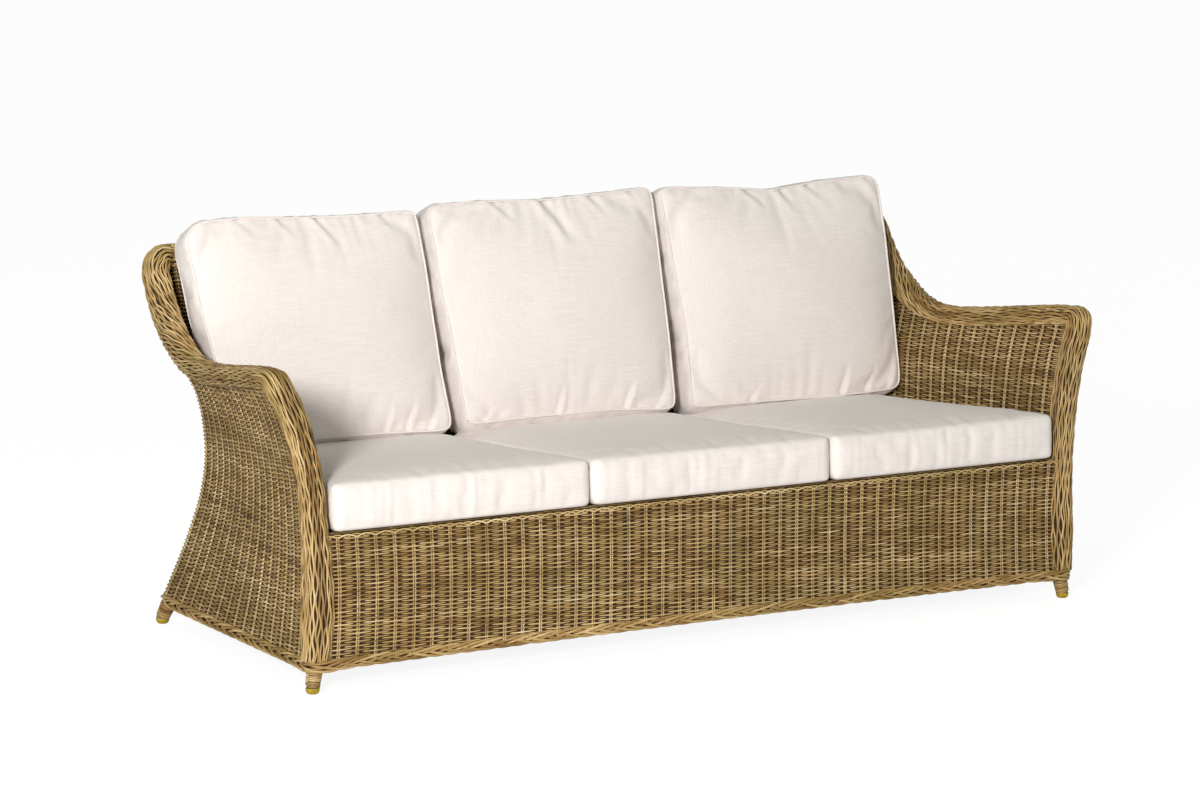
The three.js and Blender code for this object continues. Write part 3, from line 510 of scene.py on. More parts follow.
def runs(mask):
    """Start and end of each stretch where a mask holds for four points or more."""
    edges = np.flatnonzero(np.diff(np.concatenate([[0], mask.astype(int), [0]])))
    return [(a, b) for a, b in zip(edges[::2], edges[1::2]) if b - a >= 4]


def panel_top(w, y):
    """Height at which a panel ends inside the band over it."""
    h = np.where(w <= HALF_STEPS, w, 2 * HALF_STEPS - w)
    return np.where(h > SIDE_STEPS + 0.5, TOP_LINE - TOP_COVER, rim_height(y) - RIM_COVER)


def shade_sheet(low, high):
    """A dark sheet of painted shade halfway through a panel, which stands in for the shade seen through its
    gaps.
    """
    w = np.linspace(low, high, int(round((high - low) * 4)) + 1)
    top = np.full(len(w), 500.0)
    for _ in range(4):  # the top depends on how far back the sheet's edge lies, and that on the top
        top = panel_top(w, wrap(w, top, 0)[0][:, 1]) - 1
    z = lerp(SKIN_BOTTOM - SHADE_SHEET_FOOT, top[:, None], np.linspace(0, 1, SHADE_SHEET_ROWS)[None])
    points = wrap(np.repeat(w, SHADE_SHEET_ROWS), z.ravel(), 0)[0]
    return points, grid_quads(len(w), SHADE_SHEET_ROWS)


def row_heights(top, seed):
    rows = np.arange(SKIN_BOTTOM - WEAVER_FOOT, top, ROW_PITCH)
    return rows + noise_line(rows, DRIFT_STEP, np.random.default_rng(seed), -ROW_DRIFT, ROW_DRIFT)


def weave(strands, w, heights, rng, place, top):
    """Adds the weavers along w, a row at each height. place gives points and normals, top where they end."""
    for row, height in enumerate(heights):
        z = height + noise_line(w * STEP, WANDER_STEP, rng, -WANDER, WANDER)
        out = WEAVE_DEPTH * np.cos(np.pi * (w + row)) * noise_line(w * STEP, PRESS_STEP, rng, 0.85, 1.1)
        points, normals = place(w, z, out)
        for a, b in runs(z < top(w, points[:, 1])):
            radius = WEAVER_RADIUS * rng.uniform(0.93, 1.04)
            strands.add(points[a:b], normals[a:b], radius, strand_tone(points[a:b], rng))


def stake(strands, numbers, high, rng, place, top):
    """Adds a pair of stakes at each number."""
    heights = np.arange(SKIN_BOTTOM - STAKE_FOOT, high, ROW_PITCH)
    for k in numbers:
        for side in (-1, 1):
            out = -STAKE_DEPTH * np.cos(np.pi * (k + np.arange(len(heights))))
            points, normals = place(np.full(len(heights), k + side * STAKE_GAP / STEP), heights, out)
            for a, b in runs(heights < top(np.full(len(heights), float(k)), points[:, 1])):
                tone = strand_tone(points[a:b], rng, STAKE_LIFT)
                strands.add(points[a:b], normals[a:b], STAKE_RADIUS, tone)


def weave_panel(name, node, low, high, seed, sides, per_step=4):
    """One of the panels round the sofa, from the stake low to the stake high."""
    rng = np.random.default_rng(seed)
    strands = Strands(sides)
    w = np.linspace(low, high, int(round((high - low) * per_step)) + 1)
    weave(strands, w, row_heights(TOP_LINE, 5), rng, wrap, panel_top)
    numbers = [k for k in range(int(math.ceil(low)), int(high) + 1) if k not in (0, int(2 * HALF_STEPS))]
    stake(strands, numbers, TOP_LINE, rng, wrap, panel_top)
    obj = strands.build(name, wicker, shade_sheet(low, high))
    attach(obj, "frame")
    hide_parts(node)


def apron():
    rng = np.random.default_rng(21)
    strands = Strands(5)
    w = np.linspace(0, APRON_STEPS, APRON_STEPS * 4 + 1)
    top = DECK_HEIGHT - 3
    edge_foot, edge_arch, edge_out = 9, 6.5, 2.2  # the upper edge, where strands arch from stake to stake

    def place(w, z, out):
        x = leg_at(z)[0] * (2 * w / APRON_STEPS - 1)
        points = np.stack([x, np.full_like(x, APRON_FRONT + SKIN / 2) - out, z + np.zeros_like(x)], 1)
        return points, np.broadcast_to((0, -1.0, 0), points.shape)

    whole = lambda w, y: np.inf  # nothing cuts the strands of the apron short
    weave(strands, w, row_heights(top - edge_foot, 8), rng, place, whole)
    stake(strands, range(1, APRON_STEPS), top - 3, rng, place, whole)
    fine = np.linspace(0.3, APRON_STEPS - 0.3, APRON_STEPS * 8)
    for phase in (0, 0.5):
        arch = np.abs(np.sin(np.pi * (fine + phase)))
        out = edge_out - 3.2 * arch * (1 if phase else -0.2)
        points, normals = place(fine, top - edge_foot + edge_arch * arch, out)
        strands.add(points, normals, WEAVER_RADIUS, strand_tone(points, rng, 0.1))
    # A dark sheet of painted shade behind the apron's strands, which stands in for the shade seen through its
    # gaps
    rows = 30
    levels = np.linspace(SKIN_BOTTOM - SHADE_SHEET_FOOT, top - 6, rows)
    sheet = place(np.repeat(w, rows), np.tile(levels, len(w)), np.zeros(rows * len(w)))[0]
    obj = strands.build("front_apron_strands", wicker, (sheet, grid_quads(len(w), rows)))
    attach(obj, "frame")
    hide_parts("front_apron_weave")


def deck():
    rng = np.random.default_rng(31)
    strands = Strands(4)
    pitch, spacing, gap, drop = 5.6, 44, 2, 2.6
    end = corner_at(DECK_HEIGHT)[1] - 12
    half_front, half_rear = leg_at(DECK_HEIGHT)[0] - 6, corner_at(DECK_HEIGHT - 40)[0] - 8
    up = np.array([0, math.sin(DECK_SLOPE), math.cos(DECK_SLOPE)])

    def place(x, y, out):
        y = np.asarray(y, float) + np.zeros_like(x)
        return np.stack([x, y, DECK_HEIGHT - (y - APRON_FRONT) * math.tan(DECK_SLOPE) - drop + out], 1)

    for row, y in enumerate(np.arange(2.0, end, pitch)):
        half = lerp(half_front, half_rear, y / end)
        x = np.linspace(-half, half, 85)
        out = 0.6 * np.cos(np.pi * (x / spacing + row))
        points = place(x, y + noise_line(x, 90, rng, -0.5, 0.5), out)
        strands.add(points, up, 1.9, strand_tone(points, rng))
    for k in range(-20, 21):
        if abs(k) * spacing > half_front - 15:
            continue
        for side in (-1, 1):
            y = np.arange(0, end, pitch)
            y = y[lerp(half_front, half_rear, y / end) > abs(k) * spacing + 6]
            out = -0.5 * np.cos(np.pi * (k + np.arange(len(y))))
            points = place(np.full(len(y), float(k * spacing + side * gap)), y, out)
            strands.add(points, up, 1.8, strand_tone(points, rng, 0.1))
    # A dark sheet of painted shade under the deck's strands, which stands in for the shade seen through its
    # gaps
    rows, columns = 30, 40
    depth, share = np.linspace(2, end - 4, rows), np.linspace(-1, 1, columns)
    half = lerp(half_front, half_rear, depth / end) - 1
    sheet = place((half[:, None] * share).ravel(), np.repeat(depth, columns), 0)
    obj = strands.build("seat_deck_strands", dark_wicker, (sheet, grid_quads(rows, columns)))
    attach(obj, "frame")
    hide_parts("seat_deck_weave")


# Wound bands

# The last is how far the band's dark tube of painted shade lies inside its outline
BAND_STRANDS, BAND_RADIUS, BAND_SINK, SHADE_TUBE_INSET = 34, 2.1, 0.4, 5
BAND_BEAT, BAND_SWAY, BAND_DIP = 66, 0.36, 1.1  # how neighbouring strands part and meet
# The posts are full below the seat and drawn in over the foot
FOOT_WIDTH, FOOT_DEPTH, FOOT_TAPER, TAPER_HEIGHT = 62, 66, 0.14, 90
BAND_STATIONS = np.array([
    (0, FOOT_WIDTH, FOOT_DEPTH), (1.9, FOOT_WIDTH, FOOT_DEPTH),
    (3, POST_WIDTH, POST_DEPTH), (FRONT_POS - 2, POST_WIDTH, POST_DEPTH),
    (FRONT_POS, POST_WIDTH, ARM_BAND), (REAR_POS, POST_WIDTH, ARM_BAND),
    (REAR_POS + 3, WING_WIDTH, WING_DEPTH), (CREST_POS, WING_WIDTH, WING_DEPTH),
    (RIM_END, TOP_BAND, TOP_BAND),
])
SQUARENESS = 3.2  # 2 is an ellipse


def bulge(v):
    return np.sign(v) * np.abs(v) ** (2 / SQUARENESS)


section_angles = np.linspace(0, 2 * np.pi, 721)
section = [26 * bulge(np.cos(section_angles)), 28 * bulge(np.sin(section_angles))]  # a section of middling size
section_lengths = lengths_along(np.stack(section, 1))


def outline(share, half_wide, half_deep):
    """Points of a band's section at shares of the way round it."""
    angle = np.interp(np.mod(share, 1) * section_lengths[-1], section_lengths, section_angles)
    return bulge(np.cos(angle)) * half_wide, bulge(np.sin(angle)) * half_deep


def rim_line(start, end, step):
    """Evenly spaced stations of the band along the rim: points, directions and half sizes."""
    fine = np.linspace(start, end, 4001)
    lengths = lengths_along(rim(fine))
    s = np.linspace(0, lengths[-1], int(lengths[-1] / step) + 1)
    position = np.interp(s, lengths, fine)
    points = rim(position)
    along = unit(rim(np.minimum(position + 0.02, RIM_END)) - rim(np.maximum(position - 0.02, 0)))
    along[position > RIM_END - 1e-6] = (-1, 0, 0)
    turn = np.clip((CREST[0] - points[:, 0]) / TOP_BEND, 0, 1)[:, None]
    across = np.concatenate([1 - turn, np.zeros_like(turn), turn], 1)
    wide = unit(across - along * (across * along).sum(1, keepdims=True))
    half = [np.interp(position, BAND_STATIONS[:, 0], BAND_STATIONS[:, i]) / 2 for i in (1, 2)]
    return s, position, points, wide, np.cross(along, wide), half


def wind(strands, s, points, wide, deep, half, twist, rng, lift):
    """Winds the band's strands lengthwise. Neighbours sway against each other, which opens dark gaps."""
    phases = np.cumsum(rng.uniform(-0.5, 0.5, BAND_STRANDS))
    for j in range(BAND_STRANDS):
        beat = 2 * np.pi * (s / BAND_BEAT + 0.55 * noise_line(s, 150, rng)) + phases[j]
        sway = BAND_SWAY * np.sin(beat + np.pi * j) * noise_line(s, 80, rng, 0.4, 1.4)
        sway = sway + noise_line(s, 55, rng, -0.15, 0.15)
        dip = BAND_DIP * np.cos(beat + np.pi * j)
        reach = (size - BAND_RADIUS - BAND_SINK + dip for size in half)
        a, b = outline((j + sway) / BAND_STRANDS + twist, *reach)
        offset = wide * a[:, None] + deep * b[:, None]
        path = points + offset
        strands.add(path, unit(offset), BAND_RADIUS * rng.uniform(0.92, 1.03), strand_tone(path, rng, lift))


def shade_tube(points, wide, deep, half, step=2):
    """A dark tube of painted shade inside a band, as points and quads. It stands in for the shade seen between
    the strands.
    """
    sides = 20
    share = np.arange(sides) / sides
    rings = []
    for i in range(0, len(points), step):
        a, b = outline(share, half[0][i] - SHADE_TUBE_INSET, half[1][i] - SHADE_TUBE_INSET)
        rings.append(points[i] + wide[i] * a[:, None] + deep[i] * b[:, None])
    return np.vstack(rings), tube_quads(len(rings), sides)


def mirrored(values, side):
    return values * np.array([side, 1, 1])


def rim_bands():
    start = float(np.interp(SKIN_BOTTOM - WEAVER_FOOT, leg_table[:, 2], rim_positions[: len(leg_table)]))
    s, position, points, wide, deep, half = rim_line(start, RIM_END, 7)
    taper = 1 - FOOT_TAPER + FOOT_TAPER * smooth((points[:, 2] - points[0, 2]) / TAPER_HEIGHT)
    half = [size * taper for size in half]
    turned = 0.6  # how far the strands wind round the band between the arm and the crest
    twist = turned * smooth((position - REAR_POS + 0.4) / (CREST_POS - REAR_POS))
    lift = 0.1 * smooth(position - REAR_POS) - 0.02  # the wings are lighter than the posts
    for name, side in (("left", -1), ("right", 1)):
        strands = Strands(5)
        line, w, d = mirrored(points, side), mirrored(wide, side), mirrored(deep, side)
        wind(strands, s, line, w, d, half, twist, np.random.default_rng(41 + side), lift)
        obj = strands.build(f"{name}_rim_band", wicker, shade_tube(line, w, d, half))
        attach(obj, "frame")
        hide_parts(*(f"{name}_{part}_band" for part in ("post", "arm", "wing")))
    end = bend_points[-1]
    x = np.linspace(end[0], -end[0], 150)
    line = np.stack([x, np.full_like(x, end[1]), np.full_like(x, end[2])], 1)
    w, d = (np.tile(way[-1], (len(x), 1)) for way in (wide, deep))
    half = [np.full(len(x), TOP_BAND / 2)] * 2
    strands = Strands(5)
    wind(strands, np.abs(x - end[0]), line, w, d, half, turned, np.random.default_rng(44), 0.05)
    obj = strands.build("top_rim_band", wicker, shade_tube(line, w, d, half, 4))
    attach(obj, "frame")
    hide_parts("top_band")


# Braid, feet

BRAID_STRANDS, BRAID_RADIUS, BRAID_WAVE = 6, 2.7, 230
BRAID_REACH, BRAID_RISE = 3.2, 9.6  # how far a strand swings out and up
FRONT_RADIUS, FRONT_RISE = 30, 5  # of the braid's front corners, and of its middle under the apron


def base_braid():
    half_x = KNEE + BASE_FLARE + BRAID_PROUD - 1
    front, rear = APRON_FRONT - BRAID_PROUD, WAIST_DEPTH + BASE_KICK + BRAID_PROUD
    inner = 10.5
    ends = ((1, front, FRONT_RADIUS), (-1, rear, CORNER_RADIUS + 3))
    corners = [(sx, *end) for end, signs in zip(ends, ((-1, 1), (1, -1))) for sx in signs]
    loop = []
    for i, (sx, sy, y, radius) in enumerate(corners):
        cx, cy = sx * (half_x - radius), y + sy * radius
        start = math.pi + i * math.pi / 2
        for a in np.linspace(start, start + math.pi / 2, 9):
            loop.append((cx + (radius - inner) * math.cos(a), cy + (radius - inner) * math.sin(a)))
    loop = np.array(loop + loop[:1])
    lengths = lengths_along(loop)
    s = np.linspace(0, lengths[-1], int(lengths[-1] / 8))
    x, y = np.interp(s, lengths, loop[:, 0]), np.interp(s, lengths, loop[:, 1])
    rise = FRONT_RISE * (1 - (x / half_x) ** 2) * (y < 60)
    centre = np.stack([x, y, BRAID_LINE + rise], 1)
    up = np.array([0, 0, 1.0])
    out = unit(np.cross(unit(np.gradient(centre, axis=0)), up))
    ankle = leg_at(BRAID_LINE)
    apart = np.hypot(np.abs(x) - ankle[0], y - ankle[1])
    # It swings out round the foot of each post
    centre += out * ((6 + 9 * out[:, 1:2] ** 2) * np.exp(-((apart / 50) ** 2))[:, None])
    rng = np.random.default_rng(51)
    strands = Strands(6)
    waves = round(lengths[-1] / BRAID_WAVE)
    for j in range(BRAID_STRANDS):
        t = 2 * np.pi * (j / BRAID_STRANDS + waves * s / lengths[-1] + 0.06 * noise_line(s, 90, rng))
        swing = out * (4.2 + BRAID_REACH * np.sin(2 * t))[:, None]
        path = centre + swing + up * (BRAID_RISE * np.sin(t))[:, None]
        strands.add(path, out, BRAID_RADIUS * rng.uniform(0.92, 1.04), strand_tone(path, rng, -0.04))
    # A dark tube of painted shade inside the braid, which stands in for the shade between its strands
    sides = 10
    ring = np.arange(sides) * 2 * np.pi / sides
    rings = [
        centre[i] + out[i] * (4 * np.cos(ring) - 2)[:, None] + up * (9 * np.sin(ring))[:, None]
        for i in range(0, len(centre), 2)
    ]
    obj = strands.build("base_braid_strands", wicker, (np.concatenate(rings), tube_quads(len(rings), sides)))
    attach(obj, "frame")
    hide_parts("front_base_braid", "rear_base_braid", "left_base_braid", "right_base_braid")


def lathe(name, centre, profile, material, segments=40):
    angles = np.arange(segments) * 2 * np.pi / segments
    x, y = centre
    verts = [(x + r * math.cos(a), y + r * math.sin(a), z) for r, z in profile for a in angles]
    quads = tube_quads(len(profile), segments).tolist()
    for row, order in ((0, -1), (len(profile) - 1, 1)):
        hub = len(verts)
        verts.append((x, y, profile[row][1]))
        for k in range(segments):
            pair = (row * segments + k, row * segments + (k + 1) % segments)[::order]
            quads.append((pair[0], pair[1], hub, hub))
    return make_mesh(name, verts, np.array(quads), [material])


WINDING_PITCH, WINDING_RADIUS, WINDING_LOW, WINDING_REACH, WINDING_FLARE = 3.9, 1.8, 13, 13.2, 2.2
CAP_PROFILE = [
    (7, 0), (9.4, 0.6), (11.4, 2), (12.9, 4.2), (13.8, 7),
    (14.1, 9.8), (14.1, 11.6), (13.4, 12.4), (11, 12.8), (10.6, 17),
]


def feet():
    low_x, low_y = (v - LEG_INSET for v in corner_at(BRAID_LINE))
    ends = {
        "front": ((*leg_at(0), 0), (*leg_at(BRAID_LINE), BRAID_LINE)),
        "rear": ((low_x + REAR_SPLAY, low_y + REAR_SETBACK, 0), (low_x, low_y, BRAID_LINE)),
    }
    for name, side in (("left", -1), ("right", 1)):
        for end, line in ends.items():
            foot, ankle = (mirrored(np.array(p, float), side) for p in line)
            along = unit(ankle - foot)
            wide = unit(np.cross(along, (0, 1.0, 0)))
            deep = np.cross(along, wide)
            rng = np.random.default_rng(60 + side + (3 if end == "rear" else 0))
            strands = Strands(6)
            t = np.arange(0, (BINDING_TOP + 4 - WINDING_LOW) / WINDING_PITCH, 1 / 28)
            z = WINDING_LOW + 1 + t * WINDING_PITCH + 0.4 * np.sin(t * 2.3)
            reach = WINDING_REACH + WINDING_FLARE * (z - WINDING_LOW) / 34
            spin = 2 * np.pi * t
            normals = wide * np.cos(spin)[:, None] + deep * np.sin(spin)[:, None]
            path = foot + along * (z / along[2])[:, None] + normals * reach[:, None]
            strands.add(path, normals, WINDING_RADIUS, strand_tone(path, rng, 0.02))
            obj = strands.build(f"{name}_{end}_foot_winding", wicker)
            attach(obj, "frame")
            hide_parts(f"{name}_{end}_foot_binding")
            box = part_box(f"{name}_{end}_foot_cap")
            centre = [(box[0][i] + box[1][i]) / 2 / MM for i in range(2)]
            centre[1] += SHIFT
            cap = lathe(f"{name}_{end}_cap", centre, CAP_PROFILE, cap_finish)
            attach(cap, "frame")
            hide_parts(f"{name}_{end}_foot_cap")


# Cushions

def lattice(nu, nv, nw):
    """Corners, from -1 to 1 each way, and quads of a box's surface."""
    index, corners, quads = {}, [], []

    def at(i, j, k):
        if (i, j, k) not in index:
            index[i, j, k] = len(corners)
            corners.append((2 * i / nu - 1, 2 * j / nv - 1, 2 * k / nw - 1))
        return index[i, j, k]

    for i in range(nu):
        for j in range(nv):
            quads.append((at(i, j, nw), at(i + 1, j, nw), at(i + 1, j + 1, nw), at(i, j + 1, nw)))
            quads.append((at(i, j, 0), at(i, j + 1, 0), at(i + 1, j + 1, 0), at(i + 1, j, 0)))
        for k in range(nw):
            quads.append((at(i, 0, k), at(i + 1, 0, k), at(i + 1, 0, k + 1), at(i, 0, k + 1)))
            quads.append((at(i, nv, k), at(i, nv, k + 1), at(i + 1, nv, k + 1), at(i + 1, nv, k)))
    for j in range(nv):
        for k in range(nw):
            quads.append((at(0, j, k), at(0, j, k + 1), at(0, j + 1, k + 1), at(0, j + 1, k)))
            quads.append((at(nu, j, k), at(nu, j + 1, k), at(nu, j + 1, k + 1), at(nu, j, k + 1)))
    return np.array(corners), np.array(quads)


class Cushion:
    """A box cushion in its own frame: u across, v along its depth or height, w through its thickness."""

    def __init__(self, node, tilt, seed):
        self.seed = seed
        co = np.array([v.co for v in frame["nodes"][node].data.vertices], float) / MM
        self.v_axis = np.array([0, math.cos(tilt), math.sin(tilt)])
        self.w_axis = np.array([0, -math.sin(tilt), math.cos(tilt)])
        self.v0, self.v1 = (co @ self.v_axis).min(), (co @ self.v_axis).max()
        self.w0 = (co @ self.w_axis).min()
        v = (co @ self.v_axis - self.v0) / (self.v1 - self.v0)
        ends = [co[(v > lo) & (v < hi)][:, 0] for lo, hi in ((0.04, 0.3), (0.7, 0.96))]
        self.left = [e.min() for e in ends]
        self.right = [e.max() for e in ends]
        self.half_x, self.half_y = (self.right[0] - self.left[0]) / 2, (self.v1 - self.v0) / 2

    def place(self, x, y, z):
        """Points from the cushion's own x, y from its near edge and z from its underside."""
        v, w = self.v0 + y, self.w0 + z
        y, z = (v * self.v_axis[i] + w * self.w_axis[i] for i in (1, 2))
        return np.stack([x, y, z], 1)


def edge(values, t):
    """A smooth edge through values spread evenly from -1 to 1."""
    t = np.clip((t + 1) / 2 * (len(values) - 1), 0, len(values) - 1 - TINY)
    i = t.astype(int)
    values = np.asarray(values, float)
    return lerp(values[i], values[i + 1], smooth(t - i) * 0.5 + (t - i) * 0.5)


def box_form(c, params, spec):
    """The sewn form before it is filled."""
    u, v, w = params.T
    half, hv, hw = c.half_x, c.half_y, spec["thick"] / 2
    block = np.stack([u * half, v * hv, w * hw], 1)
    limit = np.array([half, hv, hw]) - spec["edge"]
    inner = np.clip(block, -limit, limit)
    p = inner + unit(block - inner) * spec["edge"]
    near_left, near_right, far_right, far_left = spec["corners"]
    is_left = p[:, 0] < 0
    near, far = np.where(is_left, near_left, near_right), np.where(is_left, far_left, far_right)
    radius = np.where(p[:, 1] < 0, near, far)
    middle = np.array([half, hv]) - radius[:, None]
    q = np.abs(p[:, :2]) - middle
    pull = np.where((q > 0).all(1), q.max(1) / np.maximum(np.linalg.norm(q, axis=1), TINY), 1)
    p[:, :2] = np.where((q > 0).all(1)[:, None], np.sign(p[:, :2]) * (middle + q * pull[:, None]), p[:, :2])
    a, b = np.clip(p[:, 0] / half, -1, 1), np.clip(p[:, 1] / hv, -1, 1)
    p[:, 2] += (1 - a * a) * (1 - b * b) * np.where(w > 0, spec["crown"], -spec["rear_crown"]) * np.abs(w)
    left_inset, right_inset, top_inset = (amount * (1 - smooth((w + 1) / 2)) for amount in spec["rear_inset"])
    draw, t = spec["draw"] * (1 - b * b), (b + 1) / 2
    left = edge(spec["left"], b) + lerp(c.left[0], c.left[1], t) + left_inset + draw
    right = edge(spec["right"], b) + lerp(c.right[0], c.right[1], t) - right_inset - draw
    low = edge(spec["low"], a) * smooth((w - 0.3) / 0.7)
    high = edge(spec["high"], a) + c.v1 - c.v0 - top_inset
    x, y = lerp(left, right, (a + 1) / 2), lerp(low, high, t)
    z = p[:, 2] + hw + spec["lift"]
    waves = np.random.default_rng(c.seed).uniform(0, 6.28, 4)
    z += 1.5 * np.sin(a * 3.1 + waves[0]) * np.sin(b * 2.7 + waves[1]) * np.clip(w, 0, 1)
    return np.stack([x, y, z], 1)


FRAMES = 20


def fill(obj, pinned, spec, name):
    """Inflates the sewn form. Seams keep their place, and the cloth between them is a little too large."""
    group = obj.vertex_groups.new(name="seams")
    for weight in np.unique(pinned):
        if weight > 0:
            group.add([int(i) for i in np.flatnonzero(pinned == weight)], float(weight), "REPLACE")
    cloth = obj.modifiers.new("cloth", "CLOTH")
    settings = cloth.settings
    settings.quality = 5
    settings.mass = 0.25
    settings.tension_stiffness = settings.compression_stiffness = 18
    settings.shear_stiffness = 6
    settings.bending_stiffness = spec["stiff"]
    settings.tension_damping = settings.compression_damping = 8
    settings.shrink_min = -spec["ease"]
    settings.use_pressure = True
    settings.uniform_pressure_force = spec["pressure"]
    settings.effector_weights.gravity = 0
    settings.vertex_group_mass = "seams"
    cloth.collision_settings.use_collision = False
    cloth.point_cache.frame_start, cloth.point_cache.frame_end = 1, FRAMES
    before = read(obj.data.vertices, "co", 3)
    for f in range(1, FRAMES + 1):
        scene.frame_set(f)
    done = obj.evaluated_get(bpy.context.evaluated_depsgraph_get())
    move = read(done.data.vertices, "co", 3) - before
    obj.modifiers.remove(cloth)
    scene.frame_set(1)
    size = np.linalg.norm(move, axis=1, keepdims=True)
    cap = spec["cap"] * MM
    move *= np.where(size > 0, cap * np.tanh(size / cap) / np.maximum(size, 1e-12), 0)
    print(f"{name}: moved up to {size.max() / MM:.1f} mm, mean {size.mean() / MM:.1f} mm")
    obj.data.vertices.foreach_set("co", (before + move).ravel())
    obj.data.update()


def pucker(t, d, step, reach, rng):
    """Small folds that run away from a seam: t along it, d from it."""
    fold = noise_line(t, step, rng, -1, 1) + 0.5 * noise_line(t, step * 0.45, rng, -1, 1)
    strength = noise_line(t, step * 7, rng, 0.05, 1) ** 1.5
    return fold * strength * np.exp(-d / reach)


def crease(obj, c, spec):
    """Folds beside the seams and on the boxing, on the smoothed mesh."""
    mesh = obj.data
    co, normal = read(mesh.vertices, "co", 3), read(mesh.vertices, "normal", 3)
    u, v, w = (read(mesh.attributes[key].data, "value", 1)[:, 0] for key in ("pu", "pv", "pw"))
    half_x, half_y = c.half_x, c.half_y
    rng = np.random.default_rng(c.seed + 100)
    face = smooth((w - 0.75) / 0.25)
    x, y = u * half_x, v * half_y
    moves = np.zeros(len(co))
    # From the seams at the top, the bottom, the right and the left
    gaps = ((1 - v) * half_y, (1 + v) * half_y, (1 - u) * half_x, (1 + u) * half_x)
    for t, d, amount in zip((x, x, y, y), gaps, spec["folds"]):
        reach = 34 * noise_line(t, 60, rng, 0.5, 1.4)
        moves += amount * face * pucker(t, d, 13, reach, rng)
    boxing = (1 - face) * smooth((w + 1) / 0.3)
    # One line through the boxing's four sides, which lie well apart on it
    at_ends = np.abs(u) * half_x / half_y > np.abs(v)
    along = np.where(at_ends, y + 900 * np.sign(u), x + 2000 * np.sign(v) + 3000)
    order = np.argsort(along)
    side = np.zeros(len(co))
    side[order] = noise_line(along[order], 9, rng, -1, 1) * noise_line(along[order], 50, rng, 0.1, 1)
    moves += spec["box_folds"] * boxing * side
    big = np.sin(u * 2.6 + rng.uniform(0, 6)) * np.sin(v * 2.2 + rng.uniform(0, 6))
    big = big + 0.5 * np.sin(u * 5.1 + 1.3 * v + rng.uniform(0, 6))
    moves += spec["dents"] * face * big * (1 - u * u) * (1 - v * v)
    for x0, y0, x1, y1, width, depth in spec["creases"]:
        start, way = np.array([x0 - 0.5, y0 - 0.5]) * 2, np.array([x1 - x0, y1 - y0]) * 2
        start, way = start * (half_x, half_y), way * (half_x, half_y)
        length = np.linalg.norm(way)
        way = way / length
        dx, dy = x - start[0], y - start[1]
        t, d = (dx * way[0] + dy * way[1]) / length, (dx * way[1] - dy * way[0]) / width
        fade = smooth((t + 0.25) / 0.25) * np.clip(1 - t, 0, 1) ** 0.7 * (t < 1)
        moves += depth * face * fade * (np.exp(-((d - 0.8) ** 2)) - 1.1 * np.exp(-((d + 0.6) ** 2) * 1.5))
    co += normal * (moves * MM)[:, None]
    mesh.vertices.foreach_set("co", co.ravel())
    mesh.update()


def piping(name, seam, radius, body):
    """A covered cord along a seam: points of the coarse mesh in order round it."""
    ring = np.vstack([seam, seam[:1]])
    for _ in range(2):
        ring[1:-1] = (ring[:-2] + 2 * ring[1:-1] + ring[2:]) / 4
    lengths = lengths_along(ring)
    s = np.linspace(0, lengths[-1], int(lengths[-1] / 6))
    path = np.stack([np.interp(s, lengths, ring[:, i]) for i in range(3)], 1)
    strands = Strands(8)
    strands.add(path, unit(path - ring.mean(0)), radius, TONE)
    made = strands.build(name, linen)
    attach(made, body)


def ring_order(params, w_side):
    """The seam's points of the lattice in order round it."""
    u, v, w = params.T
    on_edge = (np.abs(np.abs(u) - 1) < TINY) | (np.abs(np.abs(v) - 1) < TINY)
    on = np.flatnonzero((np.abs(w - w_side) < TINY) & on_edge)
    u, v = u[on], v[on]
    beyond = np.where(v > 1 - TINY, 5 - u, 7 - v)
    place = np.where(v < -1 + TINY, u + 1, np.where(u > 1 - TINY, 3 + v, beyond))
    return on[np.argsort(place)]


def cushion(node, tilt, body, spec, seed):
    c = Cushion(node, tilt, seed)
    size, layers = ((12, 8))
    counts = [max(4, int(round(length / size))) for length in (c.right[0] - c.left[0], c.v1 - c.v0)]
    params, quads = lattice(*counts, layers)
    verts = c.place(*box_form(c, params, spec).T)
    obj = make_mesh(node.replace("cushion", "pad"), verts, quads, [linen], shift=False)
    for key, values in zip(("pu", "pv", "pw"), params.T):
        obj.data.attributes.new(key, "FLOAT", "POINT").data.foreach_set("value", values.astype(np.float32))
    seams = {"front": ring_order(params, 1), "rear": ring_order(params, -1)}
    pinned = np.zeros(len(params))
    if spec["flat"]:
        pinned[params[:, 2] < -1 + TINY] = 1
    pinned[seams["rear"]] = 1
    pinned[seams["front"]] = spec["pin"]
    fill(obj, pinned, spec, node)
    filled = read(obj.data.vertices, "co", 3) / MM
    filled[:, 1] += SHIFT
    if spec["piping"]:
        for side, seam in seams.items():
            piping(node.replace("cushion", f"{side}_piping"), filled[seam], spec["piping"], body)
    obj.modifiers.new("smooth", "SUBSURF").levels = 1
    made = bpy.data.meshes.new_from_object(obj.evaluated_get(bpy.context.evaluated_depsgraph_get()))
    obj.modifiers.clear()
    obj.data = made
    crease(obj, c, spec)
    obj.vertex_groups.clear()
    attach(obj, body)
    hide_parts(node)


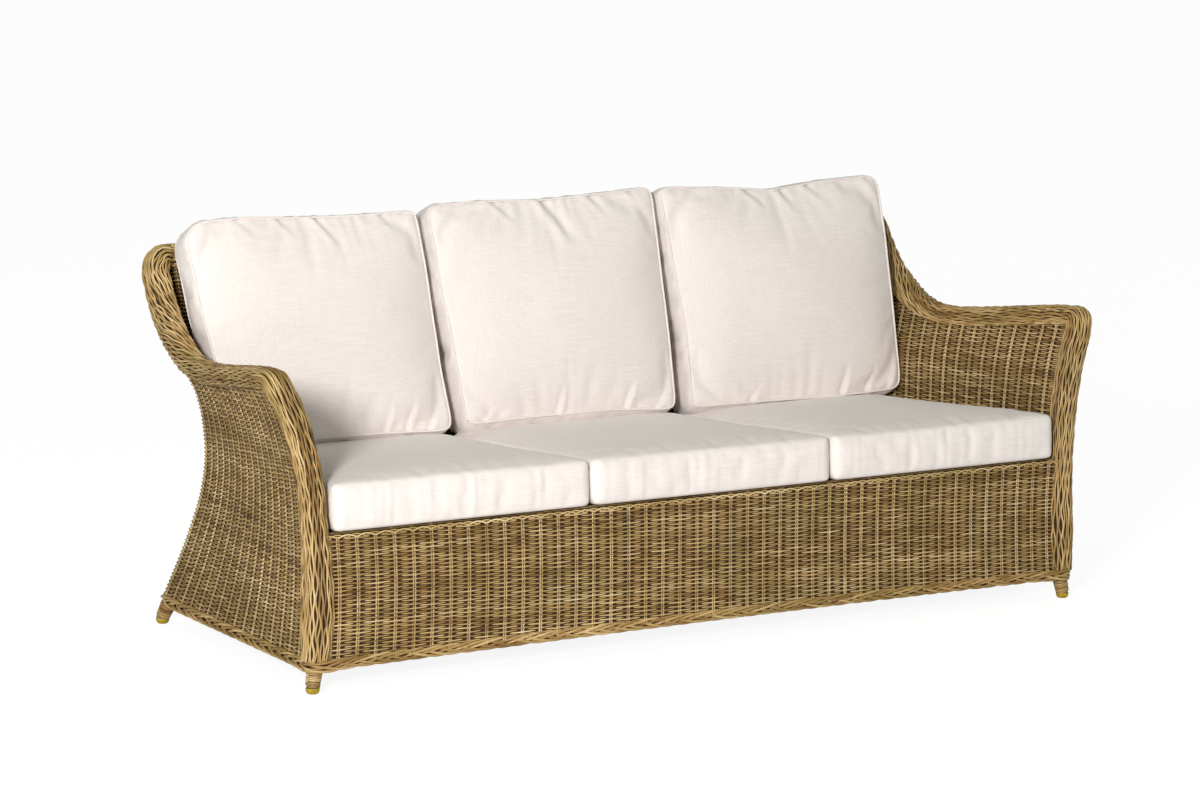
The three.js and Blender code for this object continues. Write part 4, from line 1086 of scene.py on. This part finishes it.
# corners are radii at the near left, near right, far right and far left. left, right, low and high say how
# far the front seam lies from the solid's edges, and rear_inset how far the rear seam lies inside it at the
# left, right and top. folds are by seam: top, bottom, right, left. A crease runs from a point to a point, in
# shares of the face, and has a width and a depth.
SEAT = dict(
    thick=97, edge=12, corners=(10, 10, 60, 60), crown=6, rear_crown=0, draw=2, lift=0.5,
    left=(1, 1, 1), right=(-1, -1, -1), low=(0, 0, 0), high=(0, 0, 0), rear_inset=(0, 0, 0),
    stiff=1.5, ease=0.012, pressure=3.5, cap=14, folds=(0.8, 1.0, 0.8, 0.8), box_folds=1.5, dents=1.0,
    flat=True, pin=0.85, piping=0, fill=0.75, creases=(),
)
BACK = dict(
    thick=104, edge=9, crown=20, rear_crown=6, draw=0, lift=10, stiff=0.8, ease=0.02, pressure=4, cap=26,
    folds=(1.8, 1.5, 1.2, 1.2), box_folds=1.6, dents=2.4, flat=False, pin=1, piping=2.4, fill=0.65,
)
BACKS = {
    "left": dict(
        corners=(24, 22, 20, 54), left=(7, -2, -24, -38), right=(-23, -39, -48, -62), rear_inset=(14, 8, 8),
        low=(12, 14, 12, 6), high=(-12, -8, -14, -16, -12),
        creases=(
            (0.21, 1, 0.28, 0.9, 9, 3), (0.39, 1, 0.45, 0.9, 8, 3), (0.55, 1, 0.62, 0.85, 9, 5),
            (0.83, 1, 0.87, 0.92, 8, 3), (0.69, 0, 0.73, 0.17, 7, 3), (0.79, 0, 0.84, 0.17, 8, 4),
            (0.89, 0, 0.95, 0.12, 7, 4),
        ),
    ),
    "middle": dict(
        corners=(20, 20, 22, 26), left=(0, -14, -34, -46), right=(-44, -44, -49, -54), rear_inset=(8, 8, 8),
        low=(15, 19, 19, 9), high=(-3, 0, -4, 3, 12),
        creases=(
            (0.49, 1, 0.59, 0.76, 15, 7), (0.7, 1, 0.76, 0.88, 10, 4.5), (0.27, 1, 0.36, 0.88, 9, 3.5),
            (0.88, 1, 0.92, 0.92, 8, 3), (0.43, 0, 0.46, 0.15, 8, 4), (0.75, 0, 0.79, 0.15, 8, 4),
            (0.08, 0, 0.16, 0.1, 7, 2.5), (0.9, 0, 0.98, 0.12, 8, 3),
        ),
    ),
    "right": dict(
        corners=(16, 26, 30, 18), left=(-15, -13, -29, -47), right=(3, -2, -8, -22), rear_inset=(8, 20, 8),
        low=(9, 8, 5, 10), high=(10, 3, -9, 6, 13),
        creases=(
            (0.37, 1, 0.45, 0.9, 9, 4), (0.53, 1, 0.58, 0.87, 9, 4.5), (0.65, 1, 0.71, 0.9, 9, 4),
            (0.93, 1, 0.97, 0.93, 7, 2.5), (0.71, 0, 0.73, 0.15, 7, 4), (0.83, 0, 0.87, 0.13, 8, 4),
            (0.93, 0, 0.97, 0.13, 7, 3), (0.28, 0, 0.33, 0.1, 8, 2.5),
        ),
    ),
}


# Build

weave_panel("left_side_strands", "left_side_weave", 0, SIDE_STEPS + 1, 11, 5)
weave_panel("right_side_strands", "right_side_weave", 2 * HALF_STEPS - SIDE_STEPS - 1, 2 * HALF_STEPS, 12, 5)
weave_panel("back_strands", "back_weave", SIDE_STEPS + 1, 2 * HALF_STEPS - SIDE_STEPS - 1, 13, 3, 2)
apron()
deck()
rim_bands()
base_braid()
feet()
for i, (place, own) in enumerate(BACKS.items()):
    cushion(f"{place}_seat_cushion", -DECK_SLOPE, f"{place}_seat", SEAT, 71 + i)
    cushion(f"{place}_back_cushion", math.pi / 2 - RECLINE, f"{place}_back", BACK | own, 81 + i)
for obj in frame["nodes"].values():
    if not obj.hide_render:
        for slot in obj.material_slots:
            slot.material = tube_finish


# Room, light and camera. Lengths are in metres from here on.

# The camera sees the floor glow, and the sofa is lit without that
FLOOR_SIZE, FLOOR_GLOW, GLOW_SHARE = 400, 1.2, 0.75
HORIZON, ZENITH = (0.42, 0.42, 0.42, 1), (0.255, 0.285, 0.24, 1)
CAMERA_PLACE, CAMERA_PITCH, CAMERA_YAW, LENS = (-3.807, -6.126, 1.613), 8.65, 30, 105.24


def floor():
    bpy.ops.mesh.primitive_plane_add(size=FLOOR_SIZE)
    plane = bpy.context.object
    plane.name = "floor"
    m = Material("floor_paper", Roughness=0.8)
    m.set("Base Color", m.ramp(m.noise((3, 3, 3)), [(0.3, (0.9, 0.9, 0.9, 1)), (0.7, (0.92, 0.92, 0.92, 1))]))
    glow = m.node("ShaderNodeEmission", Color=(1, 1, 1, 1), Strength=FLOOR_GLOW)
    share = m.math("MULTIPLY", m.node("ShaderNodeLightPath").outputs["Is Camera Ray"], GLOW_SHARE)
    both = m.node("ShaderNodeMixShader", {0: share, 1: m.shader.outputs[0], 2: glow.outputs[0]})
    m.feed(m.tree.nodes["Material Output"].inputs["Surface"], both.outputs[0])
    plane.data.materials.append(m.mat)


def world():
    """Soft light from a grey room. The camera sees it white."""
    scene.world = made = bpy.data.worlds.new("studio")
    made.use_nodes = True
    room = Nodes(made.node_tree)
    place = room.node("ShaderNodeTexCoord").outputs["Generated"]
    height = room.node("ShaderNodeSeparateXYZ", {0: place}).outputs["Z"]
    light = room.ramp(height, [(0.05, HORIZON), (0.9, ZENITH)])
    seen = room.node("ShaderNodeLightPath").outputs["Is Camera Ray"]
    background = room.tree.nodes["Background"]
    room.feed(background.inputs["Color"], room.mix(seen, light, (1, 1, 1, 1)))
    background.inputs["Strength"].default_value = 1


def area(name, place, aim, size, power, colour):
    data = bpy.data.lights.new(name, "AREA")
    data.shape, data.size, data.energy, data.color = "DISK", size, power, colour
    lamp = bpy.data.objects.new(name, data)
    scene.collection.objects.link(lamp)
    lamp.location = place
    way = [b - a for a, b in zip(place, aim)]
    flat = math.hypot(way[0], way[1])
    lamp.rotation_euler = (math.atan2(flat, -way[2]), 0, math.atan2(-way[0], way[1]))


def camera():
    data = bpy.data.cameras.new("camera")
    made = bpy.data.objects.new("camera", data)
    scene.collection.objects.link(made)
    data.sensor_width, data.lens = 36, LENS
    data.clip_end = 500
    x, y, z = CAMERA_PLACE
    made.location = (x, y - SHIFT * MM, z)
    made.rotation_euler = (math.radians(90 - CAMERA_PITCH), 0, math.radians(-CAMERA_YAW))
    scene.camera = made


floor()
world()
area("key", (-4.8, -5.4, 2.33), (0, 0, 0.45), 1.05, 422, (1, 0.985, 0.97))
area("fill", (-1.5, -6.4, 2.0), (0, 0, 0.4), 3.2, 16, (0.97, 0.985, 1))
camera()
scene.view_settings.view_transform = "Standard"
